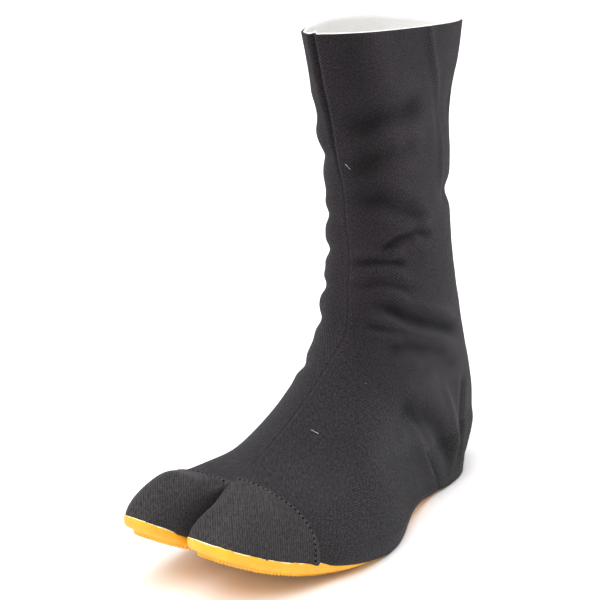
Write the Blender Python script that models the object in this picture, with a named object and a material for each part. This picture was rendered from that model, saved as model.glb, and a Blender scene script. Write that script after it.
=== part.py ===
"""A left jika-tabi: a soft split-toe work boot of black cotton on a gum rubber sole, standing empty.

Places are written as (x, u, z) in millimetres: x to the outer side of the foot, u forward from the heel,
z up from the floor. In the model the toes point along -Y and the outer side lies along +X.
"""

import math
from collections import namedtuple

import bmesh
import bpy
from mathutils import Vector

MM = 0.001

# Main sizes
LENGTH = 256.0          # foot line from heel to the big toe's tip
CLEARANCE = 0.3         # between pieces that touch in the real boot
WALL = 2.0              # upper: cotton twill, interlining and lining
OVERLAY = 0.9           # ribbed cloth of the toe caps and the heel counter
OVERLAY_GAP = 0.5       # under that cloth

# Sole sizes
BALL_SOLE = 7.5         # whole thickness under ball and toes
HEEL_SOLE = 4.5         # whole thickness under the heel
THINS_FROM = 140.0      # the sole thins from here
THINS_TO = 60.0         # to here
SPRING = 35.6           # rise of the sole at the big toe's tip
SPRING_FROM = 150.0
ARCH_RISE = 3.0
ARCH_FROM = 58.0
ARCH_TO = 124.0
SLAB_SHARE = 0.62       # share of the thickness above the tread's step
TREAD_INSET = 3.0
TREAD_DRAFT = 0.6       # the tread widens by this towards its step
LIP_FROM = 0.35         # along the cleft the slab starts to stand out here
LIP_OVER = 0.5
INSOLE_THICK = 2.0
INSOLE_INSET = 3.2
INSOLE_TOE_INSET = 5.0  # more at the tips, where the toes close down
INSOLE_TOE_FROM = 0.5   # share of a toe from which it grows

# Side of the sole's slab from its top to the tread's step: how far it stands out beyond the upper, and
# how far down the slab that is
Side = namedtuple("Side", "out down")
SIDE = [Side(1.3, 0.0), Side(2.0, 0.35), Side(1.5, 0.8), Side(0.7, 1.0)]

# Foot line in plan: half widths to the inner and the outer side
HEEL_ROUND = 30.0
HEEL_BLUNT = 2.4
Plan = namedtuple("Plan", "u medial lateral")
PLAN = [
    Plan(30, 28.0, 28.0),
    Plan(60, 27.0, 28.5),
    Plan(95, 28.0, 37.0),
    Plan(130, 35.0, 48.5),
    Plan(160, 41.0, 51.0),
    Plan(187, 43.0, 46.0),
    Plan(212, 42.0, 38.0),
]

# Sections of the last from the toes' crotch to the collar. Each lies between its front point and its foot:
# on the sole for the foot rows, on the back line (back_z) above the heel. medial and lateral are the widest
# half widths, belly_at their share of the way to the front, the e columns the roundness of front and back.
Section = namedtuple(
    "Section",
    "name front_u front_z front_x medial_u lateral_u back_z "
    "medial lateral belly_at medial_e lateral_e back_e lift",
)
SECTIONS = [
    Section("crotch", 202, 51, -4, 212, 187, None, 43, 46.5, 0.5, 0.55, 1.0, 1.0, 10),
    Section("vamp", 186, 55, -3, 194, 172, None, 44, 51.5, 0.5, 0.62, 1.05, 1.0, 6),
    Section("ball", 170, 61, -2, 170, 152, None, 44, 53.5, 0.5, 0.8, 1.05, 1.0, 0),
    Section("low instep", 153, 71, -1, 140, 126, None, 41, 51.0, 0.5, 0.85, 1.0, 1.0, 0),
    Section("instep", 138, 84, 0, 106, 97, None, 37, 42.0, 0.5, 0.85, 0.95, 1.0, 0),
    Section("high instep", 126, 98, 1, 68, 66, None, 35, 34.5, 0.5, 0.8, 0.9, 0.9, 0),
    Section("throat", 118, 111, 1.5, 36, 36, None, 34, 33.5, 0.5, 0.7, 0.85, 0.8, 0),
    Section("low ankle", 113, 122, 2, 14, 14, None, 33.5, 33.0, 0.5, 0.65, 0.8, 0.65, 0),
    Section("ankle", 110.5, 130, 2, 4, 4, None, 33, 32.5, 0.5, 0.62, 0.8, 0.55, 0),
    Section("heel seat", 109, 136, 2, 0, 0, None, 32.5, 32, 0.5, 0.62, 0.8, 0.5, 0),
    Section("heel", 107.5, 143, 2, -4.5, -4.5, 22, 32, 31.5, 0.5, 0.62, 0.8, 0.5, 0),
    Section("heel bulge", 106.5, 151, 2, -7, -7, 42, 31, 30.5, 0.5, 0.62, 0.8, 0.52, 0),
    Section("heel top", 106, 160, 2, -5, -5, 62, 30, 29.5, 0.5, 0.62, 0.8, 0.6, 0),
    Section("low shaft", 106, 172, 1, 0, 0, 90, 28.5, 28, 0.5, 0.62, 0.8, 0.75, 0),
    Section("shaft", 107, 190, 1, 5.5, 5.5, 124, 27, 27, 0.52, 0.62, 0.85, 0.9, 0),
    Section("mid shaft", 110, 210, 0, 7, 7, 160, 26, 25, 0.54, 0.63, 0.85, 1.0, 0),
    Section("calf", 114.5, 232, -1, 3.5, 3.5, 200, 25.5, 22.5, 0.57, 0.66, 0.9, 1.05, 1),
    Section("high calf", 120, 255, -2, -4, -4, 240, 26, 20, 0.6, 0.72, 0.9, 1.05, 3),
    Section("collar", 126, 277, -2, -14, -14, 277, 27, 18, 0.62, 0.75, 0.9, 1.05, 6),
]
LEAST_BELLY = 0.2       # a section is wider than its foot by this at least
HEEL_ROW = 9            # first row that closes round the back
COLLAR_ROW = len(SECTIONS) - 1

# Toe lobes in front of the crotch row: plan curves to the tip as cubic control points (x, u)
Lobe = namedtuple("Lobe", "side outer inner height drop square")
BIG_TOE = Lobe(
    -1,
    [(-42, 212), (-42, 236), (-38, 256), (-24, 256)],
    [(-4, 202), (-7, 224), (-9, 256), (-24, 256)],
    41.0, 0.6, 0.85,
)
FOUR_TOES = Lobe(
    1,
    [(46, 187), (39.5, 216), (32, 246), (12, 246)],
    [(-4, 202), (-4, 232), (-4, 246), (12, 246)],
    35.0, 0.75, 0.95,
)
TOE_BLEND = 0.3         # share of a lobe over which the crotch row fades out
TIP_TAPER = 1.2         # how straight the tops slope down to the tips
TOE_LEAN = 0.3          # lean of the tips' front, as a share of their height
CLEFT_ROUND = 0.45      # roundness of a toe's cleft side at the crotch, and at its tip
TIP_ROUND = 0.95

# Heel counter: its front edge follows the section at this row, its top edge these heights
COUNTER_ROW = 5.4
COUNTER_FRONT_Z = 33.0
COUNTER_BACK_Z = 40.0

# Mesh steps
AROUND = 17             # steps on each half section
CROWDING = 0.5          # how much they crowd towards its ends
CLEFT = 5               # steps down the cleft's wall
FOOT_STEPS = 18
SHAFT_STEPS = 13
LOBE_STEPS = 13
CAP_EDGE = 17           # steps round a toe that its cap covers near the crotch
COUNTER_STEPS = 30
COUNTER_CROWDING = 1.7  # its rows crowd towards the back, its points towards the sole
COUNTER_AROUND = 6
FOOT_CROWDING = 1.5


def smooth(t):
    t = min(1.0, max(0.0, t))
    return t * t * (3 - 2 * t)


def through(keys, values, at):
    """Cubic curve through a short column of values."""
    at = min(max(at, keys[0]), keys[-1])
    last = len(keys) - 1
    i = max(k for k in range(last) if keys[k] <= at)

    def slope(k):
        a, b = max(0, k - 1), min(last, k + 1)
        return (values[b] - values[a]) / (keys[b] - keys[a])

    span = keys[i + 1] - keys[i]
    t = (at - keys[i]) / span
    bend = span * t * (1 - t) * ((1 - t) * slope(i) - t * slope(i + 1))
    return values[i] + (values[i + 1] - values[i]) * smooth(t) + bend


def bezier(points, t):
    while len(points) > 1:
        points = [tuple(a + (b - a) * t for a, b in zip(p, q)) for p, q in zip(points, points[1:])]
    return points[0]


# The last: foot line, sole heights, sections and toes


def foot_edge(u, side):
    """x of the foot line on one side, -1 inner and 1 outer."""
    column = "medial" if side < 0 else "lateral"
    if u < HEEL_ROUND:
        share = 1 - ((HEEL_ROUND - u) / HEEL_ROUND) ** HEEL_BLUNT
        return side * getattr(PLAN[0], column) * max(0.0, share) ** (1 / HEEL_BLUNT)
    return side * through([p.u for p in PLAN], [getattr(p, column) for p in PLAN], u)


def sole_bottom(u):
    if ARCH_FROM < u < ARCH_TO:
        return ARCH_RISE * math.sin(math.pi * (u - ARCH_FROM) / (ARCH_TO - ARCH_FROM)) ** 2
    return SPRING * max(0.0, (u - SPRING_FROM) / (LENGTH - SPRING_FROM)) ** 2


def sole_thick(u):
    return HEEL_SOLE + (BALL_SOLE - HEEL_SOLE) * smooth((u - THINS_TO) / (THINS_FROM - THINS_TO))


def sole_top(u):
    return sole_bottom(u) + sole_thick(u)


def foot_line(u):
    return sole_top(u) + CLEARANCE


def row_at(s):
    """The section table's columns at a place between its rows."""
    keys = list(range(len(SECTIONS)))
    columns = [c for c in Section._fields if c not in ("name", "back_z")]
    row = {c: through(keys, [getattr(r, c) for r in SECTIONS], s) for c in columns}
    back_z = None
    if s > HEEL_ROW:
        heights = [foot_line(0)] + [r.back_z for r in SECTIONS[HEEL_ROW + 1:]]
        back_z = through(keys[HEEL_ROW:], heights, s)
    return Section(name="", back_z=back_z, **row)


def half_section(row, side, shares):
    """Points on one side of a section, at shares of the way from its foot or back to its front."""
    u = row.medial_u if side < 0 else row.lateral_u
    x, z = 0.0, row.back_z
    if z is None:
        u = max(0.0, u)
        x, z = foot_edge(u, side), foot_line(u)
    belly = max(row.medial if side < 0 else row.lateral, abs(x) + LEAST_BELLY)
    front_e = row.medial_e if side < 0 else row.lateral_e
    stretch = row.belly_at / (1 - row.belly_at)
    start = -math.acos((abs(x) / belly) ** (1 / row.back_e))
    low = stretch * math.sin(start)
    points = []
    for share in shares:
        turn = start + (math.pi / 2 - start) * share
        out = belly * max(0.0, math.cos(turn)) ** (front_e if turn > 0 else row.back_e)
        rise = math.sin(turn) * (1 if turn > 0 else stretch)
        p = (rise - low) / (1 - low)
        lift = row.lift * out / belly * 4 * p * (1 - p) if side < 0 else 0.0
        points.append((
            side * out + row.front_x * p * p,
            u + (row.front_u - u) * p,
            z + (row.front_z - z) * p + lift,
        ))
    return points


def steps(count):
    return [k / count for k in range(count + 1)]


def shares_around():
    """Shares of a half section's points, closer together at its tight ends."""
    return [(1 - CROWDING) * t + CROWDING * smooth(t) for t in steps(AROUND)]


def section(s):
    """One section from the inner foot or back over the front to the outer foot or back."""
    row = row_at(s)
    inner = half_section(row, -1, shares_around())
    outer = half_section(row, 1, shares_around())
    return inner + outer[-2::-1]


def lobe_arch(lobe, v):
    """A toe's own arch at a share v of the way to its tip, from its outer foot to the cleft's foot."""
    outer_x, outer_u = bezier(lobe.outer, v)
    inner_x, inner_u = bezier(lobe.inner, v)
    outer_z, inner_z = foot_line(outer_u), foot_line(inner_u)
    height = lobe.height * (1 - lobe.drop * v) * (1 - v * v) ** TIP_TAPER
    cleft_round = CLEFT_ROUND + (TIP_ROUND - CLEFT_ROUND) * v
    points = []
    for share in steps(AROUND + CLEFT):
        turn = math.pi * share
        round_x = lobe.square if share < 0.5 else cleft_round
        round_z = 0.5 + 0.5 * lobe.square if share < 0.5 else cleft_round
        across = 0.5 - 0.5 * math.copysign(abs(math.cos(turn)) ** round_x, math.cos(turn))
        p = max(0.0, math.sin(turn)) ** round_z
        points.append((
            outer_x + (inner_x - outer_x) * across,
            outer_u + (inner_u - outer_u) * across - TOE_LEAN * height * p * v**3,
            outer_z + (inner_z - outer_z) * across + height * p,
        ))
    return points


def crotch_row(lobe):
    """The first section's half on this lobe's side, then straight down the crotch."""
    arch = half_section(row_at(0), lobe.side, shares_around())
    x, u, z = arch[-1]
    return arch + [(x, u, z + (foot_line(u) - z) * share) for share in steps(CLEFT)[1:]]


def lobe_section(lobe, v):
    fade = 1 - smooth(v / TOE_BLEND)
    arches = zip(lobe_arch(lobe, v), lobe_arch(lobe, 0.0), crotch_row(lobe))
    return [tuple(a[i] + fade * (c[i] - b[i]) for i in range(3)) for a, b, c in arches]


def lobe_shares():
    """Shares of a lobe's stations, closer together towards its tip."""
    return [math.sin(math.pi / 2 * share) for share in steps(LOBE_STEPS)]


def foot_stations():
    return [HEEL_ROW * share for share in steps(FOOT_STEPS)]


def shaft_stations():
    return [HEEL_ROW + (COLLAR_ROW - HEEL_ROW) * share for share in steps(SHAFT_STEPS)][1:]


# Sheets and solids


class Sheet:
    """An open surface: points and outward faces, with each place held once."""

    def __init__(self):
        self.points = []
        self.faces = []
        self.index = {}

    def add(self, point):
        key = tuple(round(c, 4) for c in point)
        if key not in self.index:
            self.index[key] = len(self.points)
            self.points.append(point)
        return self.index[key]

    def grid(self, rows, flip=False):
        """Triangles between neighbouring rows of points, as far as both rows reach."""
        rows = [[self.add(p) for p in row] for row in rows]
        for near, far in zip(rows, rows[1:]):
            for k in range(min(len(near), len(far)) - 1):
                for face in ([near[k], near[k + 1], far[k + 1]], [near[k], far[k + 1], far[k]]):
                    if len(set(face)) == 3:
                        self.faces.append(face[::-1] if flip else face)

    def normals(self):
        total = [Vector((0, 0, 0)) for _ in self.points]
        for face in self.faces:
            a, b, c = (Vector(self.points[i]) for i in face)
            area = (c - a).cross(b - a)  # u runs against Y, so the turn is the other way round
            for i in face:
                total[i] += area
        return [n.normalized() for n in total]

    def rim(self):
        """Edges with one face, in that face's order."""
        edges = {}
        for face in self.faces:
            for a, b in zip(face, face[1:] + face[:1]):
                edges[(a, b)] = edges.get((a, b), 0) + 1
        return [e for e in edges if (e[1], e[0]) not in edges]


def thickened(sheet, normals, outside, inside, settle):
    """A closed skin between two offsets of a sheet; settle(point, normal, offset) places a rim point."""
    rim = sheet.rim()
    on_rim = {i for edge in rim for i in edge}
    layers = []
    for offset in (outside, inside):
        layer = []
        for i, (point, normal) in enumerate(zip(sheet.points, normals)):
            if i in on_rim:
                layer.append(settle(point, normal, offset))
            else:
                layer.append(tuple(Vector(point) + normal * offset))
        layers.append(layer)
    count = len(sheet.points)
    faces = [list(face) for face in sheet.faces]
    faces += [[i + count for i in reversed(face)] for face in sheet.faces]
    faces += [[b, a, a + count, b + count] for a, b in rim]
    return layers[0] + layers[1], faces


def material(name, colour, roughness):
    made = bpy.data.materials.new(name)
    made.use_nodes = True
    shader = made.node_tree.nodes["Principled BSDF"]
    shader.inputs["Base Color"].default_value = (*colour, 1)
    shader.inputs["Roughness"].default_value = roughness
    return made


def turn_outwards(mesh):
    shape = bmesh.new()
    shape.from_mesh(mesh)
    bmesh.ops.recalc_face_normals(shape, faces=shape.faces)
    shape.to_mesh(mesh)
    shape.free()


def solid(name, points, faces, look):
    mesh = bpy.data.meshes.new(name)
    mesh.from_pydata([(x * MM, -u * MM, z * MM) for x, u, z in points], [], faces)
    mesh.materials.append(look)
    made = bpy.data.objects.new(name, mesh)
    bpy.context.scene.collection.objects.link(made)
    return made


# The upper and what is sewn on it


def level_offset(point, normal, offset):
    """Moves a rim point sideways only, so that the rim stays level with the sole or the collar."""
    flat = Vector((normal.x, normal.y, 0)).normalized() * offset
    x, u, z = point[0] + flat.x, point[1] + flat.y, point[2]
    if abs(z - foot_line(max(0.0, point[1]))) < 0.01:
        z = foot_line(max(0.0, u))
    return (x, u, z)


def upper_sheet():
    sheet = Sheet()
    sheet.grid([section(s) for s in foot_stations() + shaft_stations()])
    for lobe in (BIG_TOE, FOUR_TOES):
        sheet.grid([lobe_section(lobe, v) for v in lobe_shares()], flip=lobe.side < 0)
    return sheet


def upper_normals(sheet):
    """Outward normals of the upper; down the crotch, where the two toes' walls meet, they point forward."""
    normals = sheet.normals()
    for point in crotch_row(BIG_TOE)[AROUND + 1:]:
        normals[sheet.add(point)] = Vector((0, 1, 0))
    return normals


def build_upper(sheet):
    points, faces = thickened(sheet, upper_normals(sheet), 0.0, -WALL, level_offset)
    return solid("upper", points, faces, material("black_cotton_twill", (0.022, 0.022, 0.026), 0.85))


def overlay_offset(point, normal, offset):
    """Keeps an overlay's edge clear of the sole."""
    x, u, z = Vector(point) + normal * offset
    return (x, u, max(z, foot_line(max(0.0, u)) + CLEARANCE))


def build_toe_cap(lobe, name, upper, wraps_from):
    """The cap over a toe, which reaches down into the cleft from one of the toe's stations on."""
    sheet = Sheet()
    rows = []
    for station in range(1, LOBE_STEPS + 1):
        arch = lobe_section(lobe, lobe_shares()[station])
        rows.append(arch if station >= wraps_from else arch[: CAP_EDGE + 1])
    sheet.grid(rows, flip=lobe.side < 0)
    all_normals = upper_normals(upper)
    normals = [all_normals[upper.add(point)] for point in sheet.points]
    points, faces = thickened(sheet, normals, OVERLAY_GAP + OVERLAY, OVERLAY_GAP, overlay_offset)
    return solid(name, points, faces, material(name + "_cloth", (0.035, 0.035, 0.038), 0.9))


def counter_share(row, side, height):
    """How far up a half section a height lies."""
    low, high = 0.0, 1.0
    for _ in range(30):
        mid = (low + high) / 2
        if half_section(row, side, [mid])[0][2] < height:
            low = mid
        else:
            high = mid
    return low


def counter_end():
    """The row whose back point stands at the counter's top."""
    low, high = float(HEEL_ROW), float(COLLAR_ROW)
    for _ in range(30):
        mid = (low + high) / 2
        if row_at(mid).back_z < COUNTER_BACK_Z:
            low = mid
        else:
            high = mid
    return low


def build_heel_counter():
    sheet = Sheet()
    end = counter_end()
    for side in (-1, 1):
        rows = []
        for t in steps(COUNTER_STEPS):
            share = 1 - (1 - t) ** COUNTER_CROWDING
            row = row_at(COUNTER_ROW + (end - COUNTER_ROW) * share)
            low = counter_share(row, side, foot_line(max(0.0, row.medial_u)) + 2 * CLEARANCE)
            high = counter_share(row, side, COUNTER_FRONT_Z + (COUNTER_BACK_Z - COUNTER_FRONT_Z) * share)
            shares = [low + (high - low) * k**FOOT_CROWDING for k in steps(COUNTER_AROUND)]
            rows.append(half_section(row, side, shares))
        sheet.grid(rows, flip=side > 0)
    normals = sheet.normals()
    points, faces = thickened(sheet, normals, OVERLAY_GAP + OVERLAY, OVERLAY_GAP, overlay_offset)
    return solid("heel_counter", points, faces, material("heel_counter_cloth", (0.03, 0.03, 0.033), 0.9))


# The sole and the insole


def foot_plan():
    """Foot line in plan: (x, u) by the name and number of each point, in order round the boot."""
    rows = [section(s) for s in reversed(foot_stations())]
    big = [lobe_section(BIG_TOE, v) for v in lobe_shares()]
    four = [lobe_section(FOUR_TOES, v) for v in lobe_shares()]
    plan = {("medial", i): row[0][:2] for i, row in enumerate(rows)}
    for k in range(1, LOBE_STEPS + 1):
        plan["big outer", k] = big[k][0][:2]
    for k in range(LOBE_STEPS - 1, -1, -1):
        plan["big inner", k] = big[k][-1][:2]
    for k in range(1, LOBE_STEPS + 1):
        plan["four inner", k] = four[k][-1][:2]
    for k in range(LOBE_STEPS - 1, 0, -1):
        plan["four outer", k] = four[k][0][:2]
    for i in range(FOOT_STEPS, 0, -1):
        plan["lateral", i] = rows[i][-1][:2]
    return plan


SHARED = {
    ("lateral", 0): ("medial", 0),
    ("big outer", 0): ("medial", FOOT_STEPS),
    ("four outer", 0): ("lateral", FOOT_STEPS),
    ("four inner", 0): ("big inner", 0),
    ("big inner", LOBE_STEPS): ("big outer", LOBE_STEPS),
    ("four outer", LOBE_STEPS): ("four inner", LOBE_STEPS),
}


def moved_plan(plan, amount):
    """The foot line with each point moved outwards by amount(name, number)."""
    keys = list(plan)
    places = [Vector(plan[key]) for key in keys]
    moved = []
    for j, key in enumerate(keys):
        before = (places[j] - places[j - 1]).normalized()
        after = (places[(j + 1) % len(keys)] - places[j]).normalized()
        outwards = (before + after).orthogonal().normalized()
        moved.append(places[j] + outwards * amount(*key))
    return moved


def lip(size):
    """An outward offset that dies out in the cleft, where the two lobes of the sole meet."""
    def amount(name, number):
        return size * (smooth((lobe_shares()[number] - LIP_FROM) / LIP_OVER) if "inner" in name else 1.0)
    return amount


def inset(size, at_tips=0.0):
    """An inward offset, larger at the tips of the toes."""
    def amount(name, number):
        if "outer" not in name and "inner" not in name:
            return -size
        return -size - at_tips * smooth((lobe_shares()[number] - INSOLE_TOE_FROM) / (1 - INSOLE_TOE_FROM))
    return amount


def build_plate(name, levels, look):
    """A solid of the foot's outline, from rings (offset, height) listed from its top to its underside."""
    plan = foot_plan()
    number = {key: j for j, key in enumerate(plan)}
    count = len(plan)
    points, faces = [], []
    for offset, height in levels:
        points += [(x, u, height(u)) for x, u in moved_plan(plan, offset)]
    for ring in range(len(levels) - 1):
        for j in range(count):
            a, b = ring * count + j, ring * count + (j + 1) % count
            faces.append([a, b, b + count, a + count])
    for ring in (0, len(levels) - 1):
        def at(edge, k):
            return ring * count + number[SHARED.get((edge, k), (edge, k))]

        strips = []
        for toe in ("big", "four"):
            strips.append([[at(toe + " outer", k), at(toe + " inner", k)] for k in range(LOBE_STEPS + 1)])
        middle = [[at("medial", 0)] * 3]
        for i in range(1, FOOT_STEPS):
            left, right = points[at("medial", i)], points[at("lateral", i)]
            u = (left[1] + right[1]) / 2
            points.append(((left[0] + right[0]) / 2, u, levels[ring][1](u)))
            middle.append([at("medial", i), len(points) - 1, at("lateral", i)])
        middle.append([at("medial", FOOT_STEPS), at("big inner", 0), at("lateral", FOOT_STEPS)])
        for rows in strips + [middle]:
            for near, far in zip(rows, rows[1:]):
                for k in range(len(near) - 1):
                    face = list(dict.fromkeys([near[k], near[k + 1], far[k + 1], far[k]]))
                    if len(face) > 2:
                        faces.append(face)
    plate = solid(name, points, faces, look)
    turn_outwards(plate.data)
    return plate


def slab_height(share):
    """Height of the slab's side at a share of the way down to the tread's step."""
    return lambda u: sole_top(u) - share * SLAB_SHARE * sole_thick(u)


def build_outsole():
    levels = [(lip(row.out), slab_height(row.down)) for row in SIDE]
    levels.append((inset(TREAD_INSET - TREAD_DRAFT), slab_height(1.0)))
    levels.append((inset(TREAD_INSET), sole_bottom))
    return build_plate("outsole", levels, material("amber_gum_rubber", (0.75, 0.36, 0.06), 0.45))


def build_insole():
    levels = [
        (inset(INSOLE_INSET, INSOLE_TOE_INSET), lambda u: foot_line(u) + INSOLE_THICK),
        (inset(INSOLE_INSET, INSOLE_TOE_INSET), foot_line),
    ]
    return build_plate("insole", levels, material("off_white_canvas", (0.75, 0.72, 0.66), 0.9))


def middle_of(pieces):
    """Middle of the boot's box in plan."""
    corners = [vertex.co for piece in pieces for vertex in piece.data.vertices]
    xs = [c.x for c in corners]
    ys = [c.y for c in corners]
    return (min(xs) + max(xs)) / 2, (min(ys) + max(ys)) / 2


def main():
    for old in list(bpy.data.objects):
        bpy.data.objects.remove(old)
    sheet = upper_sheet()
    pieces = [
        build_outsole(),
        build_insole(),
        build_upper(sheet),
        build_toe_cap(BIG_TOE, "toe_cap_big", sheet, wraps_from=2),
        build_toe_cap(FOUR_TOES, "toe_cap_four", sheet, wraps_from=4),
        build_heel_counter(),
    ]
    boot = bpy.data.objects.new("tabi_boot", None)
    bpy.context.scene.collection.objects.link(boot)
    x, y = middle_of(pieces)
    boot.location = (-x, -y, 0)
    for piece in pieces:
        piece.parent = boot


main()
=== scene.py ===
"""Looks of a left jika-tabi: black cotton twill, ribbed toe caps, off-white lining and an amber gum sole.

Places are written as (x, u, z) in millimetres, as in the part's own design: x to the outer side of the foot,
u forward from the heel, z up from the floor.
"""

import math
from collections import namedtuple

import bpy
import numpy as np
from mathutils import Matrix, Vector, noise
from mathutils.bvhtree import BVHTree


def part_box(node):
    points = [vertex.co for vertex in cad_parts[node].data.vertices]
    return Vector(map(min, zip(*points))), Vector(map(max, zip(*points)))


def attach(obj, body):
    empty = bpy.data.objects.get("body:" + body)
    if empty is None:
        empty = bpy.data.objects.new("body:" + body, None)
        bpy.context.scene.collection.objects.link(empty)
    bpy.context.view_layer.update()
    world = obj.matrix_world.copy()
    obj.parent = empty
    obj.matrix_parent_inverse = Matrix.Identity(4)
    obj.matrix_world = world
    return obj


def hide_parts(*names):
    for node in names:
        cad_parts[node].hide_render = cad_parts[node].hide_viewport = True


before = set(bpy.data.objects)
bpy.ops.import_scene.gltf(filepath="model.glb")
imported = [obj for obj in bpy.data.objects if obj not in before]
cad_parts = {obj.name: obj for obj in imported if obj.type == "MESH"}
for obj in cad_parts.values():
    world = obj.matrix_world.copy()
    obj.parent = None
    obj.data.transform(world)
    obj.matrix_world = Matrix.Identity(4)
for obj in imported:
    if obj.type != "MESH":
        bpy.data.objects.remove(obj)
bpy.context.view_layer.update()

MM = 0.001
TINY = 1e-9             # least length to divide by
NEAR = 0.01             # millimetres within which two places are one

# Main sizes, as in the part's design
LENGTH = 256.0
CLEARANCE = 0.3
OVERLAY = 0.9
OVERLAY_GAP = 0.5
BALL_SOLE = 7.5
HEEL_SOLE = 4.5
THINS_FROM = 140.0
THINS_TO = 60.0
SPRING = 35.6
SPRING_FROM = 150.0
ARCH_RISE = 3.0
ARCH_FROM = 58.0
ARCH_TO = 124.0
SLAB_SHARE = 0.62
INSOLE_THICK = 2.0
INSOLE_INSET = 3.2
INSOLE_TOE_INSET = 5.0
INSOLE_TOE_FROM = 0.5

# Foot line in plan: half widths to the inner and the outer side
HEEL_ROUND = 30.0
HEEL_BLUNT = 2.4
Plan = namedtuple("Plan", "u medial lateral")
PLAN = [
    Plan(30, 28.0, 28.0),
    Plan(60, 27.0, 28.5),
    Plan(95, 28.0, 37.0),
    Plan(130, 35.0, 48.5),
    Plan(160, 41.0, 51.0),
    Plan(187, 43.0, 46.0),
    Plan(212, 42.0, 38.0),
]

# Sections of the last from the toes' crotch to the collar
Section = namedtuple(
    "Section",
    "name front_u front_z front_x medial_u lateral_u back_z "
    "medial lateral belly_at medial_e lateral_e back_e lift",
)
SECTIONS = [
    Section("crotch", 202, 51, -4, 212, 187, None, 43, 46.5, 0.5, 0.55, 1.0, 1.0, 10),
    Section("vamp", 186, 55, -3, 194, 172, None, 44, 51.5, 0.5, 0.62, 1.05, 1.0, 6),
    Section("ball", 170, 61, -2, 170, 152, None, 44, 53.5, 0.5, 0.8, 1.05, 1.0, 0),
    Section("low instep", 153, 71, -1, 140, 126, None, 41, 51.0, 0.5, 0.85, 1.0, 1.0, 0),
    Section("instep", 138, 84, 0, 106, 97, None, 37, 42.0, 0.5, 0.85, 0.95, 1.0, 0),
    Section("high instep", 126, 98, 1, 68, 66, None, 35, 34.5, 0.5, 0.8, 0.9, 0.9, 0),
    Section("throat", 118, 111, 1.5, 36, 36, None, 34, 33.5, 0.5, 0.7, 0.85, 0.8, 0),
    Section("low ankle", 113, 122, 2, 14, 14, None, 33.5, 33.0, 0.5, 0.65, 0.8, 0.65, 0),
    Section("ankle", 110.5, 130, 2, 4, 4, None, 33, 32.5, 0.5, 0.62, 0.8, 0.55, 0),
    Section("heel seat", 109, 136, 2, 0, 0, None, 32.5, 32, 0.5, 0.62, 0.8, 0.5, 0),
    Section("heel", 107.5, 143, 2, -4.5, -4.5, 22, 32, 31.5, 0.5, 0.62, 0.8, 0.5, 0),
    Section("heel bulge", 106.5, 151, 2, -7, -7, 42, 31, 30.5, 0.5, 0.62, 0.8, 0.52, 0),
    Section("heel top", 106, 160, 2, -5, -5, 62, 30, 29.5, 0.5, 0.62, 0.8, 0.6, 0),
    Section("low shaft", 106, 172, 1, 0, 0, 90, 28.5, 28, 0.5, 0.62, 0.8, 0.75, 0),
    Section("shaft", 107, 190, 1, 5.5, 5.5, 124, 27, 27, 0.52, 0.62, 0.85, 0.9, 0),
    Section("mid shaft", 110, 210, 0, 7, 7, 160, 26, 25, 0.54, 0.63, 0.85, 1.0, 0),
    Section("calf", 114.5, 232, -1, 3.5, 3.5, 200, 25.5, 22.5, 0.57, 0.66, 0.9, 1.05, 1),
    Section("high calf", 120, 255, -2, -4, -4, 240, 26, 20, 0.6, 0.72, 0.9, 1.05, 3),
    Section("collar", 126, 277, -2, -14, -14, 277, 27, 18, 0.62, 0.75, 0.9, 1.05, 6),
]
LEAST_BELLY = 0.2
HEEL_ROW = 9            # above this row a section ends on the back line
COLLAR_ROW = len(SECTIONS) - 1

# Toe lobes in front of the crotch row: plan curves to the tip as cubic control points (x, u)
Lobe = namedtuple("Lobe", "side outer inner height drop square")
BIG_TOE = Lobe(
    -1,
    [(-42, 212), (-42, 236), (-38, 256), (-24, 256)],
    [(-4, 202), (-7, 224), (-9, 256), (-24, 256)],
    41.0, 0.6, 0.85,
)
FOUR_TOES = Lobe(
    1,
    [(46, 187), (39.5, 216), (32, 246), (12, 246)],
    [(-4, 202), (-4, 232), (-4, 246), (12, 246)],
    35.0, 0.75, 0.95,
)
TOE_BLEND = 0.3
TIP_TAPER = 1.2
TOE_LEAN = 0.3
CLEFT_ROUND = 0.45
TIP_ROUND = 0.95
CREST = 17 / 22         # share of a toe's arch at which its cleft wall begins
CROWDING = 0.5
CROTCH_U = 202.0

# Edges of the overlays
CapEdge = namedtuple("CapEdge", "top foot bend")
# Share of the way along a toe at which its cap begins on top, and by how much later at the sole
CAP_EDGES = {
    -1: CapEdge(0.006, 0.034, 0.6),
    1: CapEdge(-0.065, 0.107, 0.5),
}
CLEFT_EDGE = 0.004
BEHIND = 0.25           # share of a toe that one section behind the crotch row counts for
COUNTER_ROW = 5.4
COUNTER_FRONT_Z = 33.0
COUNTER_BACK_Z = 40.0
COUNTER_CROWDING = 1.7  # crowds the counter's rows towards the back
SKIVE = 3.0             # an overlay's edge is thinned out over this width, down to this height
SKIVED = 0.12
FOLD = 0.2              # height of the folded line along a cap's edge, and where it lies
FOLD_AT = 1.2
FOLD_WIDE = 0.5
CLEFT_THIN = 0.25       # share of a toe over which the cap is thinned out in the cleft
CREST_BLEND = 8.0

# Front seam: how far it lies to the outer side of the front line, for each section
SEAM_SHIFT = [0, -1.4, -2.6, -2, 0, 2.5, 5.8, 5, 3.5, 2.5, 2, 1.5, 1, 0.3, -0.6, -2.2, -2.4, -3.5, -3.5]

# Layers of the wall, measured inwards from the last
CLOTH = 1.2
LINING_FROM = 1.3
LINING_TO = 2.0

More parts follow.
